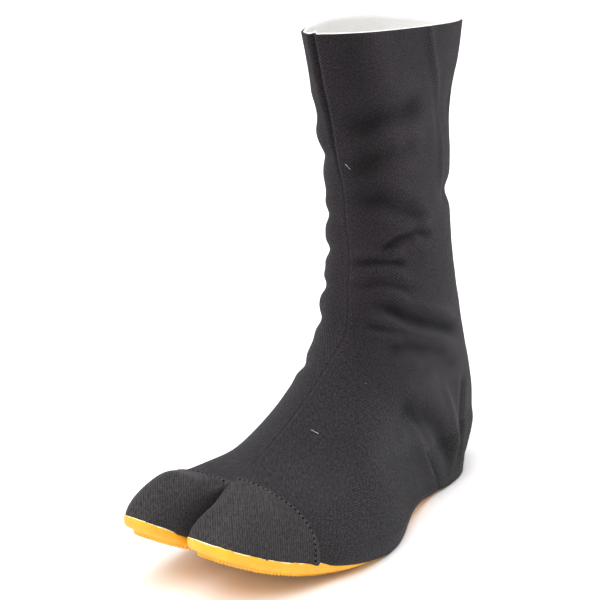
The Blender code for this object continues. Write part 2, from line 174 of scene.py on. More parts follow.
# Fineness of the cloth's mesh
FOOT_ROWS = 110
SHAFT_ROWS = 125
TOE_ROWS = 40
CAP_EDGE_ROWS = [0.0, 0.006, 0.012, 0.018, 0.026, 0.036, 0.05]
COUNTER_ROWS = 60
COUNTER_COLUMNS = 26
ACROSS = 54             # columns of a half section short of its seam
SEAM_COLUMNS = [5.0, 3.9, 3.0, 2.2, 1.6, 1.1, 0.7, 0.35, 0.0]
CLEFT_COLUMNS = 14
DENSE = 220             # points by which a curve's length is measured


def smooth(t):
    t = min(1.0, max(0.0, t))
    return t * t * (3 - 2 * t)


def smooth_all(t):
    t = np.clip(t, 0.0, 1.0)
    return t * t * (3 - 2 * t)


def between(a, b, t):
    return a + (b - a) * t


def unit(vectors):
    return vectors / np.maximum(np.linalg.norm(vectors, axis=1, keepdims=True), TINY)


def through(keys, values, at):
    """Cubic curve through a short column of values."""
    at = min(max(at, keys[0]), keys[-1])
    last = len(keys) - 1
    i = max(k for k in range(last) if keys[k] <= at)

    def slope(k):
        a, b = max(0, k - 1), min(last, k + 1)
        return (values[b] - values[a]) / (keys[b] - keys[a])

    span = keys[i + 1] - keys[i]
    t = (at - keys[i]) / span
    bend = span * t * (1 - t) * ((1 - t) * slope(i) - t * slope(i + 1))
    return between(values[i], values[i + 1], smooth(t)) + bend


def bezier(points, t):
    while len(points) > 1:
        points = [tuple(between(a, b, t) for a, b in zip(p, q)) for p, q in zip(points, points[1:])]
    return points[0]


def steps(count):
    return [k / count for k in range(count + 1)]


# The last: foot line, sole heights, sections and toes


def foot_edge(u, side):
    """x of the foot line on one side, -1 inner and 1 outer."""
    column = "medial" if side < 0 else "lateral"
    if u < HEEL_ROUND:
        share = 1 - ((HEEL_ROUND - u) / HEEL_ROUND) ** HEEL_BLUNT
        return side * getattr(PLAN[0], column) * max(0.0, share) ** (1 / HEEL_BLUNT)
    return side * through([p.u for p in PLAN], [getattr(p, column) for p in PLAN], u)


def sole_bottom(u):
    if ARCH_FROM < u < ARCH_TO:
        return ARCH_RISE * math.sin(math.pi * (u - ARCH_FROM) / (ARCH_TO - ARCH_FROM)) ** 2
    return SPRING * max(0.0, (u - SPRING_FROM) / (LENGTH - SPRING_FROM)) ** 2


def sole_thick(u):
    return between(HEEL_SOLE, BALL_SOLE, smooth((u - THINS_TO) / (THINS_FROM - THINS_TO)))


def sole_top(u):
    return sole_bottom(u) + sole_thick(u)


def foot_line(u):
    return sole_top(u) + CLEARANCE


def row_at(s):
    """The section table's columns at a place between its rows."""
    keys = list(range(len(SECTIONS)))
    columns = [c for c in Section._fields if c not in ("name", "back_z")]
    row = {c: through(keys, [getattr(r, c) for r in SECTIONS], s) for c in columns}
    back_z = None
    if s > HEEL_ROW:
        heights = [foot_line(0)] + [r.back_z for r in SECTIONS[HEEL_ROW + 1:]]
        back_z = through(keys[HEEL_ROW:], heights, s)
    return Section(name="", back_z=back_z, **row)


def half_section(row, side, shares):
    """Points on one side of a section, at shares of the way from its foot or back to its front."""
    u = row.medial_u if side < 0 else row.lateral_u
    x, z = 0.0, row.back_z
    if z is None:
        u = max(0.0, u)
        x, z = foot_edge(u, side), foot_line(u)
    belly = max(row.medial if side < 0 else row.lateral, abs(x) + LEAST_BELLY)
    front_e = row.medial_e if side < 0 else row.lateral_e
    stretch = row.belly_at / (1 - row.belly_at)
    start = -math.acos((abs(x) / belly) ** (1 / row.back_e))
    low = stretch * math.sin(start)
    points = []
    for share in shares:
        turn = between(start, math.pi / 2, share)
        out = belly * max(0.0, math.cos(turn)) ** (front_e if turn > 0 else row.back_e)
        rise = math.sin(turn) * (1 if turn > 0 else stretch)
        p = (rise - low) / (1 - low)
        lift = row.lift * out / belly * 4 * p * (1 - p) if side < 0 else 0.0
        points.append((
            side * out + row.front_x * p * p,
            between(u, row.front_u, p),
            between(z, row.front_z, p) + lift,
        ))
    return points


def lobe_arch(lobe, v, shares):
    """A toe's own arch at a share v of the way to its tip, from its outer foot to the cleft's foot."""
    outer_x, outer_u = bezier(lobe.outer, v)
    inner_x, inner_u = bezier(lobe.inner, v)
    outer_z, inner_z = foot_line(outer_u), foot_line(inner_u)
    height = lobe.height * (1 - lobe.drop * v) * (1 - v * v) ** TIP_TAPER
    cleft_round = between(CLEFT_ROUND, TIP_ROUND, v)
    points = []
    for share in shares:
        turn = math.pi * share
        round_x = lobe.square if share < 0.5 else cleft_round
        round_z = 0.5 + 0.5 * lobe.square if share < 0.5 else cleft_round
        across = 0.5 - 0.5 * math.copysign(abs(math.cos(turn)) ** round_x, math.cos(turn))
        p = max(0.0, math.sin(turn)) ** round_z
        points.append((
            between(outer_x, inner_x, across),
            between(outer_u, inner_u, across) - TOE_LEAN * height * p * v**3,
            between(outer_z, inner_z, across) + height * p,
        ))
    return points


def crotch_row(lobe, shares):
    """The first section's half on this lobe's side, then straight down the crotch."""
    on_arch = [share / CREST for share in shares if share <= CREST]
    crowded = [(1 - CROWDING) * t + CROWDING * smooth(t) for t in on_arch]
    arch = half_section(row_at(0), lobe.side, crowded)
    x, u, z = half_section(row_at(0), lobe.side, [1.0])[0]
    down = [(share - CREST) / (1 - CREST) for share in shares if share > CREST]
    return arch + [(x, u, between(z, foot_line(u), share)) for share in down]


def lobe_section(lobe, v, shares):
    fade = 1 - smooth(v / TOE_BLEND)
    arches = zip(lobe_arch(lobe, v, shares), lobe_arch(lobe, 0.0, shares), crotch_row(lobe, shares))
    return np.array([[a[i] + fade * (c[i] - b[i]) for i in range(3)] for a, b, c in arches])


# Grids of points on the last


def run_of(curve):
    """Length along a curve up to each of its points."""
    lengths = np.linalg.norm(np.diff(curve, axis=0), axis=1)
    return np.concatenate([[0.0], np.cumsum(lengths)])


def at_runs(curve, run, wanted):
    return np.stack([np.interp(wanted, run, curve[:, i]) for i in range(3)], 1)


def spaced(curve, count, ends):
    """A curve's points at even steps and then at these distances from its end, with each one's distance."""
    run = run_of(curve)
    even = np.linspace(0.0, run[-1] - ends[0], count, endpoint=False)
    wanted = np.concatenate([even, run[-1] - np.array(ends)])
    return at_runs(curve, run, wanted), run[-1] - wanted


def flat_cloth(points, side):
    """Places on the flat panel of a row of points that ends at the seam: girth back from it, and height."""
    level = np.linalg.norm(np.diff(points[:, :2], axis=0), axis=1)
    girth = np.concatenate([np.cumsum(level[::-1])[::-1], [0.0]])
    return np.stack([side * (girth - points[-1, 1]), points[:, 2]], 1)


# A grid of points, its places on the flat cloth, distances from the seam, and how full its thickness is
Grid = namedtuple("Grid", "points cloth flip seam full", defaults=(None, None))
DENSE_SHARES = [0.1 * t + 0.9 * smooth(t) for t in steps(DENSE)]
FAR = 99.0              # distance from the seam for what isn't near it


def seam_half(s, side):
    """A dense curve on one side of the front seam, from the foot or the back line up to the seam."""
    row = row_at(s)
    own = np.array(half_section(row, side, DENSE_SHARES))
    other = np.array(half_section(row, -side, DENSE_SHARES))
    whole = np.concatenate([own, other[-2::-1]])
    shift = through(list(range(len(SECTIONS))), SEAM_SHIFT, s)
    end = run_of(own)[-1] - side * shift
    return at_runs(whole, run_of(whole), np.linspace(0.0, end, 2 * DENSE))


def half_grid(stations, side):
    rows = [spaced(seam_half(s, side), ACROSS, SEAM_COLUMNS) for s in stations]
    points = np.array([row for row, _ in rows])
    cloth = np.array([flat_cloth(row, side) for row in points])
    return Grid(points, cloth, side > 0, np.array([to_seam for _, to_seam in rows]))


RIB_WAY = math.radians(48.3)    # in plan, the toe caps' cords run this far round from the outer side


def ribbed_cloth(points):
    """Places on a toe cap's cloth: across its cords, and up them."""
    across = points[..., 0] * math.sin(RIB_WAY) - points[..., 1] * math.cos(RIB_WAY)
    return np.stack([across, points[..., 2]], -1)


CREST_COLUMN = ACROSS + len(SEAM_COLUMNS) - 1


def toe_rows(lobe, shares):
    """Rows of points at shares of the way along a toe: over its top to the crest, then down the cleft."""
    over_at = [CREST * t for t in steps(DENSE)]
    wall_at = [between(CREST, 1, t) for t in steps(DENSE // 3)]
    rows = []
    for share in shares:
        v = math.sin(math.pi / 2 * share)
        over = seam_half(0, lobe.side) if share == 0 else lobe_section(lobe, v, over_at)
        top, _ = spaced(over, ACROSS, SEAM_COLUMNS)
        wall, _ = spaced(lobe_section(lobe, v, wall_at), CLEFT_COLUMNS, [0.0])
        rows.append(np.concatenate([top, wall[1:]]))
    return np.array(rows)


def toe_grid(lobe):
    points = toe_rows(lobe, steps(TOE_ROWS))
    cloth = []
    for row in points:
        top = flat_cloth(row[:CREST_COLUMN + 1], lobe.side)
        wall = np.stack([np.full(len(row) - len(top), top[-1, 0]), row[len(top):, 2]], 1)
        cloth.append(np.concatenate([top, wall]))
    return Grid(points, np.array(cloth), lobe.side < 0)


def behind_row(s, side):
    """A half section behind the crotch, with as many points as a toe's row."""
    top, _ = spaced(seam_half(s, side), ACROSS, SEAM_COLUMNS)
    return np.concatenate([top, np.repeat(top[-1:], CLEFT_COLUMNS, axis=0)])


BEHIND_ROWS = np.linspace(0.5, 0.05, 10)    # sections behind the crotch row that a cap may reach
TOE_SHARES = np.linspace(0.0, 1.0, 160)
CAP_ROWS = CAP_EDGE_ROWS + np.linspace(0.07, 1.0, TOE_ROWS).tolist()


def cap_table(lobe):
    """Rows of points behind and along a toe, with the share of the toe at which each lies."""
    behind = [behind_row(s, lobe.side) for s in BEHIND_ROWS]
    shares = np.concatenate([-BEHIND * BEHIND_ROWS, TOE_SHARES])
    return shares, np.concatenate([behind, toe_rows(lobe, TOE_SHARES)])


def cap_grid(lobe):
    """A toe cap's points and distances from its edge; at the edge and in the tight cleft it thins out."""
    table_shares, table = cap_table(lobe)
    columns = np.arange(table.shape[1])
    line = CAP_EDGES[lobe.side]
    edge = line.top + line.foot * (1 - smooth_all(columns / CREST_COLUMN / line.bend))
    edge = np.where(columns > CREST_COLUMN, CLEFT_EDGE, edge)
    shares = edge + np.outer(CAP_ROWS, 1 - edge)
    points = np.stack([at_runs(table[:, k], table_shares, shares[:, k]) for k in columns], 1)
    lengths = np.linalg.norm(np.diff(points, axis=0), axis=2)
    seam = np.concatenate([np.zeros((1, len(columns))), lengths.cumsum(0)])
    to_crest = np.linalg.norm(points - points[:, CREST_COLUMN:CREST_COLUMN + 1], axis=2)
    on_top = smooth_all(to_crest / CREST_BLEND) * (columns < CREST_COLUMN)
    in_cleft = smooth_all(shares / CLEFT_THIN)
    full = between(in_cleft, smooth_all(seam / SKIVE), on_top)
    return Grid(points, ribbed_cloth(points), lobe.side < 0, seam, full)


def bisected(below, low, high):
    """The place between low and high up to which a rule holds."""
    for _ in range(30):
        mid = (low + high) / 2
        if below(mid):
            low = mid
        else:
            high = mid
    return low


def share_at_height(row, side, height):
    """How far up a half section a height lies."""
    return bisected(lambda share: half_section(row, side, [share])[0][2] < height, 0.0, 1.0)


# The row whose back point stands at the counter's top
COUNTER_END = bisected(lambda s: row_at(s).back_z < COUNTER_BACK_Z, float(HEEL_ROW), float(COLLAR_ROW))


def counter_row(share):
    """A section under the counter, with the height of the counter's top edge on it."""
    row = row_at(between(COUNTER_ROW, COUNTER_END, share))
    return row, between(COUNTER_FRONT_Z, COUNTER_BACK_Z, share)


def counter_grid(side):
    """The counter's points on one side; its front and top edges are thinned out."""
    points = []
    for t in steps(COUNTER_ROWS):
        row, top = counter_row(1 - (1 - t) ** COUNTER_CROWDING)
        low = share_at_height(row, side, foot_line(max(0.0, row.medial_u)) + 2 * CLEARANCE)
        high = share_at_height(row, side, top)
        curve = np.array(half_section(row, side, [between(low, high, share) for share in steps(DENSE)]))
        points.append(spaced(curve, COUNTER_COLUMNS, [0.0])[0])
    points = np.array(points)
    cloth = np.stack([-side * points[..., 1], points[..., 2]], -1)
    to_front = np.linalg.norm(points - points[:1], axis=2)
    to_top = np.linalg.norm(points - points[:, -1:], axis=2)
    full = smooth_all(to_front / (2 * SKIVE)) * smooth_all(to_top / (4 * SKIVE))
    return Grid(points, cloth, side > 0, None, full)


class Sheet:
    """An open surface made of grids, joined where their points meet."""

    def __init__(self, grids):
        points = np.concatenate([g.points.reshape(-1, 3) for g in grids])
        cloth = np.concatenate([g.cloth.reshape(-1, 2) for g in grids])
        seam = np.concatenate([self.values(g, g.seam, FAR) for g in grids])
        full = np.concatenate([self.values(g, g.full, 1.0) for g in grids])
        _, first, joined = np.unique(np.round(points, 3), axis=0, return_index=True, return_inverse=True)
        joined = joined.ravel()
        self.points = points[first]
        self.seam = seam[first]
        self.full = full[first]
        self.place = cloth[first]
        faces, corners = [], []
        start = 0
        for g in grids:
            rows, columns = g.points.shape[:2]
            index = start + np.arange(rows * columns).reshape(rows, columns)
            quads = np.stack([index[:-1, :-1], index[:-1, 1:], index[1:, 1:], index[1:, :-1]], -1)
            quads = quads.reshape(-1, 4)
            faces.append(joined[quads][:, ::-1] if g.flip else joined[quads])
            corners.append(cloth[quads][:, ::-1] if g.flip else cloth[quads])
            start += rows * columns
        self.faces = np.concatenate(faces)
        self.corners = np.concatenate(corners)

    @staticmethod
    def values(grid, given, usual):
        return np.full(grid.points.shape[:2], usual).ravel() if given is None else given.ravel()

    def normals(self):
        a, b, c, d = (self.points[self.faces[:, k]] for k in range(4))
        area = -np.cross(c - a, d - b)  # u runs against Y, so the turn is the other way round
        total = np.zeros_like(self.points)
        for k in range(4):
            np.add.at(total, self.faces[:, k], area)
        return unit(total)

    def rim(self):
        """Edges with one face, in that face's order."""
        edges = np.concatenate([self.faces[:, [k, (k + 1) % 4]] for k in range(4)])
        edges = edges[edges[:, 0] != edges[:, 1]]
        count = len(self.points)
        forward, reverse = edges[:, 0] * count + edges[:, 1], edges[:, 1] * count + edges[:, 0]
        return edges[~np.isin(forward, reverse)]


# Creases: soft troughs, or ridges where the depth is less than nothing, along paths (u, z) on one side
Crease = namedtuple("Crease", "side path width depth")
CREASES = [
    Crease(1, [(116, 286), (111, 259), (106, 236), (102, 214), (100, 190), (100, 165)], 9.0, 1.3),
    Crease(1, [(113, 222), (106, 227), (95, 231), (80, 231.5), (56, 236)], 7.0, 2.9),
    Crease(1, [(109, 198), (102, 209), (92, 212), (78, 213.5), (64, 213)], 5.5, 1.7),
    Crease(1, [(107, 181), (102, 185), (98, 187), (89, 182), (77, 176), (62, 169)], 5.0, 2.0),
    Crease(1, [(102, 156), (95, 159), (87, 163.5), (74, 165), (56, 160)], 2.8, 2.3),
    Crease(1, [(108, 149), (102, 152), (93, 151), (80, 148)], 2.6, 2.3),
    Crease(1, [(110, 136), (101, 140), (89, 136), (78, 132)], 2.8, 1.3),
    Crease(1, [(109, 129), (106, 128), (97, 125), (87, 118.5), (71, 112), (43, 102), (24, 96)], 4.2, 3.8),
    Crease(1, [(111, 117.5), (108, 116.5), (100, 114), (92, 111), (84, 108)], 2.4, 1.9),
    Crease(1, [(105, 101), (98, 102.5), (89, 102.5), (72, 97), (58, 91), (43, 84)], 4.4, 1.9),
    Crease(1, [(80, 88), (70, 86), (59, 83), (45, 81), (32, 78)], 3.6, 1.1),
    Crease(1, [(104, 70), (91, 64.5), (75, 56.5), (60, 45), (52, 32), (45, 20), (40, 8)], 7.5, 2.8),
    Crease(1, [(90, 66), (81, 53), (69, 33.5), (63, 19), (56, 4)], 2.6, 0.45),
    Crease(1, [(56, 74), (49, 61), (43, 50), (39, 33), (40, 6)], 3.4, -1.3),
    Crease(1, [(24, 70), (28, 50), (29, 36), (34, 22), (37, 6)], 3.4, 1.5),
    Crease(1, [(47, 296), (44, 262), (38.5, 246), (34.5, 227), (36, 212), (42, 170)], 3.0, -1.5),
    Crease(-1, [(108, 176), (96, 174), (70, 171)], 4.0, 1.5),
    Crease(-1, [(107, 156), (92, 153), (64, 150)], 3.6, 1.6),
    Crease(-1, [(109, 136), (94, 131), (70, 128), (48, 120)], 3.6, 2.0),
    Crease(-1, [(113, 117), (98, 112), (74, 106)], 4.0, 1.5),
    Crease(-1, [(128, 96), (116, 88), (98, 82)], 4.0, 1.2),
    Crease(-1, [(112, 205), (92, 214), (66, 212)], 6.0, 1.8),
    Crease(-1, [(114, 232), (96, 236), (60, 232)], 6.0, 1.6),
    Crease(-1, [(92, 64), (74, 56), (58, 44), (50, 28), (44, 10)], 4.4, 1.9),
    Crease(-1, [(49, 60), (41, 40), (38, 12)], 2.6, -1.1),
]
HOLLOWS = [
    Crease(1, [(-36, 234), (-8, 232), (8, 230), (50, 226)], 16.0, 4.2),
    Crease(1, [(-24, 177), (0, 178), (12, 179), (50, 182)], 6.5, 3.0),
]
RIDGE = 0.42            # height of the ridges beside a trough, as a share of its depth
RIDGE_AT = 1.9          # their distance from its middle, in its widths
STARTS = 6.0            # how steeply a crease sets in along its path, and how steeply it ends
ENDS = 3.5
SIDE_FROM = 1.0         # distance from the middle plane at which creases begin, and over which they grow
SIDE_FADE = 9.0
SLACK = 0.45            # gentle unevenness of the slack cloth, and the sizes of its waves
SLACK_WAVES = [(26.0, 1.0), (9.0, 0.35)]
FLAT_TOES_U = 175.0     # in front of this the cloth lies smooth over the toes
FLAT_FADE = 40.0
SEAM_DEEP = 2.1         # front seam: depth and width at the collar, and on the instep
SEAM_WIDE = 1.2
SEAM_SHALLOW = 0.3
SEAM_NARROW = 0.6
SEAM_DEEP_Z = 260.0
SEAM_SHALLOW_Z = 190.0
SWELL = 0.3             # swell beside the seam as a share of its depth, its place and width in seam widths
SWELL_AT = 3.0
SWELL_WIDE = 1.5


def along_path(places, path):
    """Distance of each place from a path, and how far along it lies as a share."""
    path = np.array(path, float)
    lengths = np.linalg.norm(np.diff(path, axis=0), axis=1)
    runs = run_of(path)
    near = np.full(len(places), np.inf)
    share = np.zeros(len(places))
    for a, b, length, run in zip(path, path[1:], lengths, runs):
        t = np.clip((places - a) @ (b - a) / length**2, 0.0, 1.0)
        away = np.linalg.norm(places - a - t[:, None] * (b - a), axis=1)
        closer = away < near
        near[closer] = away[closer]
        share[closer] = (run + t[closer] * length) / runs[-1]
    return near, share


def crease_field(points, creases, ridge=RIDGE):
    """How far the cloth stands out from the last at each point."""
    total = np.zeros(len(points))
    for crease in creases:
        near, share = along_path(points[:, 1:], crease.path)
        trough = np.exp(-(near / crease.width) ** 2)
        beside = ridge if crease.depth > 0 else 0.0
        ridges = beside * np.exp(-((near - RIDGE_AT * crease.width) / crease.width) ** 2)
        ends = smooth_all(STARTS * share) * smooth_all(ENDS * (1 - share))
        on_side = smooth_all((crease.side * points[:, 0] - SIDE_FROM) / SIDE_FADE)
        total -= crease.depth * (trough - ridges) * ends * on_side
    return total


def slack_field(points):
    total = np.zeros(len(points))
    for size, share in SLACK_WAVES:
        waves = [noise.noise(Vector(p) / size) for p in points]
        total += SLACK * share * np.array(waves)
    return total * smooth_all((FLAT_TOES_U - points[:, 1]) / FLAT_FADE)


def seam_field(points, seam):
    """The sunk front seam and the slight swell of the cloth beside it."""
    deep = smooth_all((points[:, 2] - SEAM_SHALLOW_Z) / (SEAM_DEEP_Z - SEAM_SHALLOW_Z))
    depth = between(SEAM_SHALLOW, SEAM_DEEP, deep)
    width = between(SEAM_NARROW, SEAM_WIDE, deep)
    swell = SWELL * np.exp(-((seam - SWELL_AT * width) / (SWELL_WIDE * width)) ** 2)
    return -depth * (np.exp(-(seam / width) ** 2) - swell)


def cloth_field(sheet):
    folds = crease_field(sheet.points, CREASES) + crease_field(sheet.points, HOLLOWS, 0.0)
    return folds + slack_field(sheet.points) + seam_field(sheet.points, sheet.seam)


# Pieces
LOBES = (BIG_TOE, FOUR_TOES)


def upper_sheet():
    foot = [HEEL_ROW * t for t in steps(FOOT_ROWS)]
    shaft = [between(HEEL_ROW, COLLAR_ROW, t) for t in steps(SHAFT_ROWS)]
    halves = [half_grid(foot + shaft[1:], side) for side in (-1, 1)]
    return Sheet(halves + [toe_grid(lobe) for lobe in LOBES])


UPPER = upper_sheet()


def shift_to_frame():
    """The step from the design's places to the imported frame, found from the upper's own box."""
    _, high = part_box("upper")
    return Vector((high.x - UPPER.points[:, 0].max() * MM, high.y + UPPER.points[:, 1].min() * MM, 0.0))


SHIFT = shift_to_frame()


def to_frame(points):
    """Places of the design as places in the frame, in metres; u runs against Y."""
    return np.asarray(points, float) * (MM, -MM, MM) + np.array(SHIFT)


def add_object(name, data):
    made = bpy.data.objects.new(name, data)
    bpy.context.scene.collection.objects.link(made)
    return made


def add_mesh(name, points, faces, look):
    mesh = bpy.data.meshes.new(name)
    mesh.from_pydata(points, [], faces)
    mesh.materials.append(look)
    return add_object(name, mesh)


def add_piece(name, points, faces, look, replaced=()):
    """A smooth piece on the boot's body, from places in the frame."""
    made = add_mesh(name, points, faces, look)
    made.data.shade_smooth()
    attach(made, "root")
    if replaced:
        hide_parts(*replaced)
    return made


def keep_values(piece, name, values):
    """Keeps a value for each point, so that the piece's colour can follow it."""
    kept = piece.data.attributes.new(name, "FLOAT", "POINT")
    kept.data.foreach_set("value", np.array(values, np.float32))


def clean(face):
    """A face without repeated corners."""
    return list(dict.fromkeys(face))


# Hem of the cloth over the sole's edge: how much of the sole it leaves in view, by u
HEM_GAP_U = [0, 40, 60, 85, 105, 125, 140, 150, 165, 178, 192]
HEM_GAP = [0.3, 0.3, 2.2, 3.6, 2.6, 0.6, 0.8, 2.6, 4.8, 6.4, 8.0]
HEM_OUT = 2.6           # the hem hangs outside the sole's edge by this much, fading out towards the toes
HEM_OUT_TO = 205.0
HEM_OUT_FADE = 25.0
HEM_BLEND = 26.0        # height over which the cloth turns out into its hem
TUCK = 5.5              # the boot's lowest part is tucked in under the round heel by this much
TUCK_TO = 62.0
RIM_SWELL = 0.1         # swell of the rim of the black cloths, and of the lining
LINING_SWELL = 0.5


def tucked(u):
    """How far the sole's edge and the hem are tucked in under the heel."""
    return TUCK * (1 - smooth_all(u / TUCK_TO))


def hemmed(points, normals, hang):
    """Points of the cloth kept above the sole, the lowest ones tucked in and hung over its edge."""
    u = points[:, 1]
    foot = np.array([foot_line(max(0.0, v)) for v in u])
    bottom = np.array([sole_bottom(v) for v in u])
    z = np.maximum(points[:, 2], foot)
    low = 1 - smooth_all((z - foot) / HEM_BLEND)
    out = hang * HEM_OUT * smooth_all((HEM_OUT_TO - u) / HEM_OUT_FADE) - tucked(u)
    way = unit(normals[:, :2])
    drop = hang * np.maximum(0.0, foot - bottom - np.interp(u, HEM_GAP_U, HEM_GAP))
    return np.stack([points[:, 0] + way[:, 0] * out * low, u + way[:, 1] * out * low, z - drop * low], 1)


def shell(sheet, normals, stand, outside, inside, swell, hang=1.0):
    """Points, faces and flat places of a closed skin on a sheet, with a round rim.

    Its lowest part is tucked in under the heel and, where hang is 1, hangs over the edge of the sole.
    """
    count = len(sheet.points)
    layers = [sheet.points + normals * (stand + offset)[:, None] for offset in (outside, inside)]
    rim = sheet.rim()
    outwards = np.zeros_like(sheet.points)
    for ends in (0, 1):
        way = sheet.points[rim[:, 1]] - sheet.points[rim[:, 0]]
        np.add.at(outwards, rim[:, ends], np.cross(normals[rim[:, ends]], way))
    on_rim = np.unique(rim)
    middle = (layers[0][on_rim] + layers[1][on_rim]) / 2 + unit(outwards[on_rim]) * swell
    number = np.full(count, -1)
    number[on_rim] = 2 * count + np.arange(len(on_rim))
    points = np.concatenate([*layers, middle])
    points = hemmed(points, np.concatenate([normals, normals, normals[on_rim]]), hang)
    a, b = rim[:, 0], rim[:, 1]
    quads = [
        sheet.faces,
        sheet.faces[:, ::-1] + count,
        np.stack([b, a, number[a], number[b]], 1),
        np.stack([number[b], number[a], a + count, b + count], 1),
    ]
    place = np.concatenate([sheet.place, sheet.place, sheet.place[on_rim]])
    corners = [sheet.corners, sheet.corners[:, ::-1], place[quads[2]], place[quads[3]]]
    return points, np.concatenate(quads), np.concatenate(corners)


def cloth_piece(name, skin, look, replaced=()):
    """A piece from a shell, with its flat places as a map in millimetres."""
    points, quads, corners = skin
    faces, places = [], []
    for quad, corner in zip(quads.tolist(), corners.tolist()):
        face = clean(quad)
        if len(face) > 2:
            faces.append(face)
            places += [corner[quad.index(i)] for i in face]
    made = add_piece(name, to_frame(points).tolist(), faces, look, replaced)
    layer = made.data.uv_layers.new(name="cloth")
    layer.uv.foreach_set("vector", np.array(places, np.float32).ravel())
    return made


def keep_folds_for_shade(piece, sheet):
    """Keeps how far the cloth stands out at its folds, which sets the painted shade in their troughs and the
    painted light on their ridges.
    """
    fold_for_shade = crease_field(sheet.points, CREASES)
    keep_values(piece, "fold_for_shade", np.concatenate([fold_for_shade, fold_for_shade, fold_for_shade[np.unique(sheet.rim())]]))


def outer_surface(sheet, skin):
    """The outer face of a shell, to put needlework on."""
    points, quads, _ = skin
    faces = [clean(quad) for quad in quads[:len(sheet.faces)].tolist()]
    return BVHTree.FromPolygons(to_frame(points).tolist(), [face for face in faces if len(face) > 2])


def upper_normals():
    """Outward normals of the upper; down the crotch, where the two toes' walls meet, they point forward."""
    normals = UPPER.normals()
    x, u, z = half_section(row_at(0), 1, [1.0])[0]
    away = np.abs(UPPER.points - (x, u, 0.0))
    crotch = (away[:, 0] < NEAR) & (away[:, 1] < NEAR) & (UPPER.points[:, 2] < z - NEAR)
    normals[crotch] = (0, 1, 0)
    return normals


def build_upper(look, lining_look):
    """The black cloth and the lining under it; gives the cloth's outer face."""
    normals, stand = upper_normals(), cloth_field(UPPER)
    skin = shell(UPPER, normals, stand, 0.0, -CLOTH, RIM_SWELL)
    keep_folds_for_shade(cloth_piece("upper_cloth", skin, look, ["upper"]), UPPER)
    inner = shell(UPPER, normals, stand, -LINING_FROM, -LINING_TO, LINING_SWELL, 0.0)
    cloth_piece("lining", inner, lining_look)
    return outer_surface(UPPER, skin)


def overlay(sheet, stand):
    """A shell for a thin piece sewn on top of the upper, thinned out where it isn't full."""
    outside = between(SKIVED, OVERLAY_GAP + OVERLAY, sheet.full)
    inside = -SKIVED + (OVERLAY_GAP + SKIVED) * sheet.full
    return shell(sheet, sheet.normals(), stand, outside, inside, RIM_SWELL)


def build_cap(grid, name, look):
    sheet = Sheet([grid])
    skin = overlay(sheet, FOLD * np.exp(-((sheet.seam - FOLD_AT) / FOLD_WIDE) ** 2))
    cloth_piece(name + "_cloth", skin, look, [name])
    return outer_surface(sheet, skin)


def build_counter(look):
    sheet = Sheet([counter_grid(-1), counter_grid(1)])
    skin = overlay(sheet, cloth_field(sheet))
    keep_folds_for_shade(cloth_piece("heel_counter_cloth", skin, look, ["heel_counter"]), sheet)
    return outer_surface(sheet, skin)


# Sole and footbed: plates of the foot's outline, row by row from heel to toes
SERRATION = 2.2         # pitch of the tread's ribs
RIB_STEPS = 4
RIB_HEIGHT = 1.4
RIB_NOTCH = 0.8         # how far the ribs' ends cut into the tread's side
RIB_FADE = 8.0          # length over which the ribs die away at the arch
TREAD_COLUMNS = 14
HEEL_STEPS = 24
TIP_STEPS = 150

# Side of the sole from under the upper down to the tread's step: how far it stands out, how far down that is
Ring = namedtuple("Ring", "out down cream")
SLAB_RINGS = [
    Ring(-2.0, 0.0, 0.0),
    Ring(1.2, 0.0, 1.0),
    Ring(1.45, -0.02, 1.0),
    Ring(1.65, 0.03, 1.0),
    Ring(1.85, 0.1, 0.6),
    Ring(2.0, 0.2, 0.0),
    Ring(2.1, 0.4, 0.0),
    Ring(1.95, 0.66, 0.0),
    Ring(1.55, 0.84, 0.0),
    Ring(1.1, 0.95, 0.0),
    Ring(0.6, 1.0, 0.0),
    Ring(-0.9, 1.02, 0.0),
    Ring(-2.3, 1.02, 0.0),
]
# Wall of the tread from its step to its edge on the floor: how far in it lies, share of the way down
TREAD_RINGS = [(2.45, 0.06), (2.6, 0.35), (2.8, 0.75), (3.0, 0.93), (3.4, 1.0)]

# Lip along the sole's top edge: shares of the cleft's length at which it begins and over which it grows
LIP_FROM = 0.25
LIP_OVER = 0.45
LIP_RISE = 1.5          # it turns up round the toe caps by this much, and by this much round the big toe
LIP_RISE_BIG = 1.8
LIP_RISE_FROM = 130.0
LIP_RISE_OVER = 60.0
LIP_BIG_OVER = 25.0
LIP_WAVE = 0.28         # its unevenness, and the length of that
LIP_WAVE_LONG = 4.0
LIP_CREAM_FROM = 120.0  # it is cream from here forward
LIP_CREAM_FULL = 215.0

FOOTBED_RINGS = [(1.2, 1.0), (0.45, 0.86), (0.0, 0.5), (0.0, 0.0)]  # inwards, share of the height
FOOTBED_PITCH = 3.0
FOOTBED_TIPS = 26
FOOTBED_COLUMNS = 8


def curve_table(points):
    """A plan curve's u, x and share of its way."""
    shares = np.linspace(0.0, 1.0, 801)
    at = np.array([bezier(points, t) for t in shares])
    return at[:, 1], at[:, 0], shares


OUTER = {lobe.side: curve_table(lobe.outer) for lobe in LOBES}
INNER = {lobe.side: curve_table(lobe.inner) for lobe in LOBES}


def outer_x(u, side):
    us, xs, _ = OUTER[side]
    return float(np.interp(u, us, xs)) if u > us[0] else foot_edge(u, side)


def body_rows(pitch):
    """u of the plate's rows from the heel to the crotch."""
    heel = [HEEL_ROUND * (1 - math.cos(math.pi / 2 * t)) for t in steps(HEEL_STEPS)]
    count = round((CROTCH_U - HEEL_ROUND) / pitch)
    return heel + [between(HEEL_ROUND, CROTCH_U, t) for t in steps(count)[1:]]


def tip_rows(lobe, count):
    """u of a toe's rows, from the crotch to its tip."""
    reach = lobe.outer[-1][1] - CROTCH_U
    return [CROTCH_U + reach * math.sin(math.pi / 2 * t) for t in steps(count)]


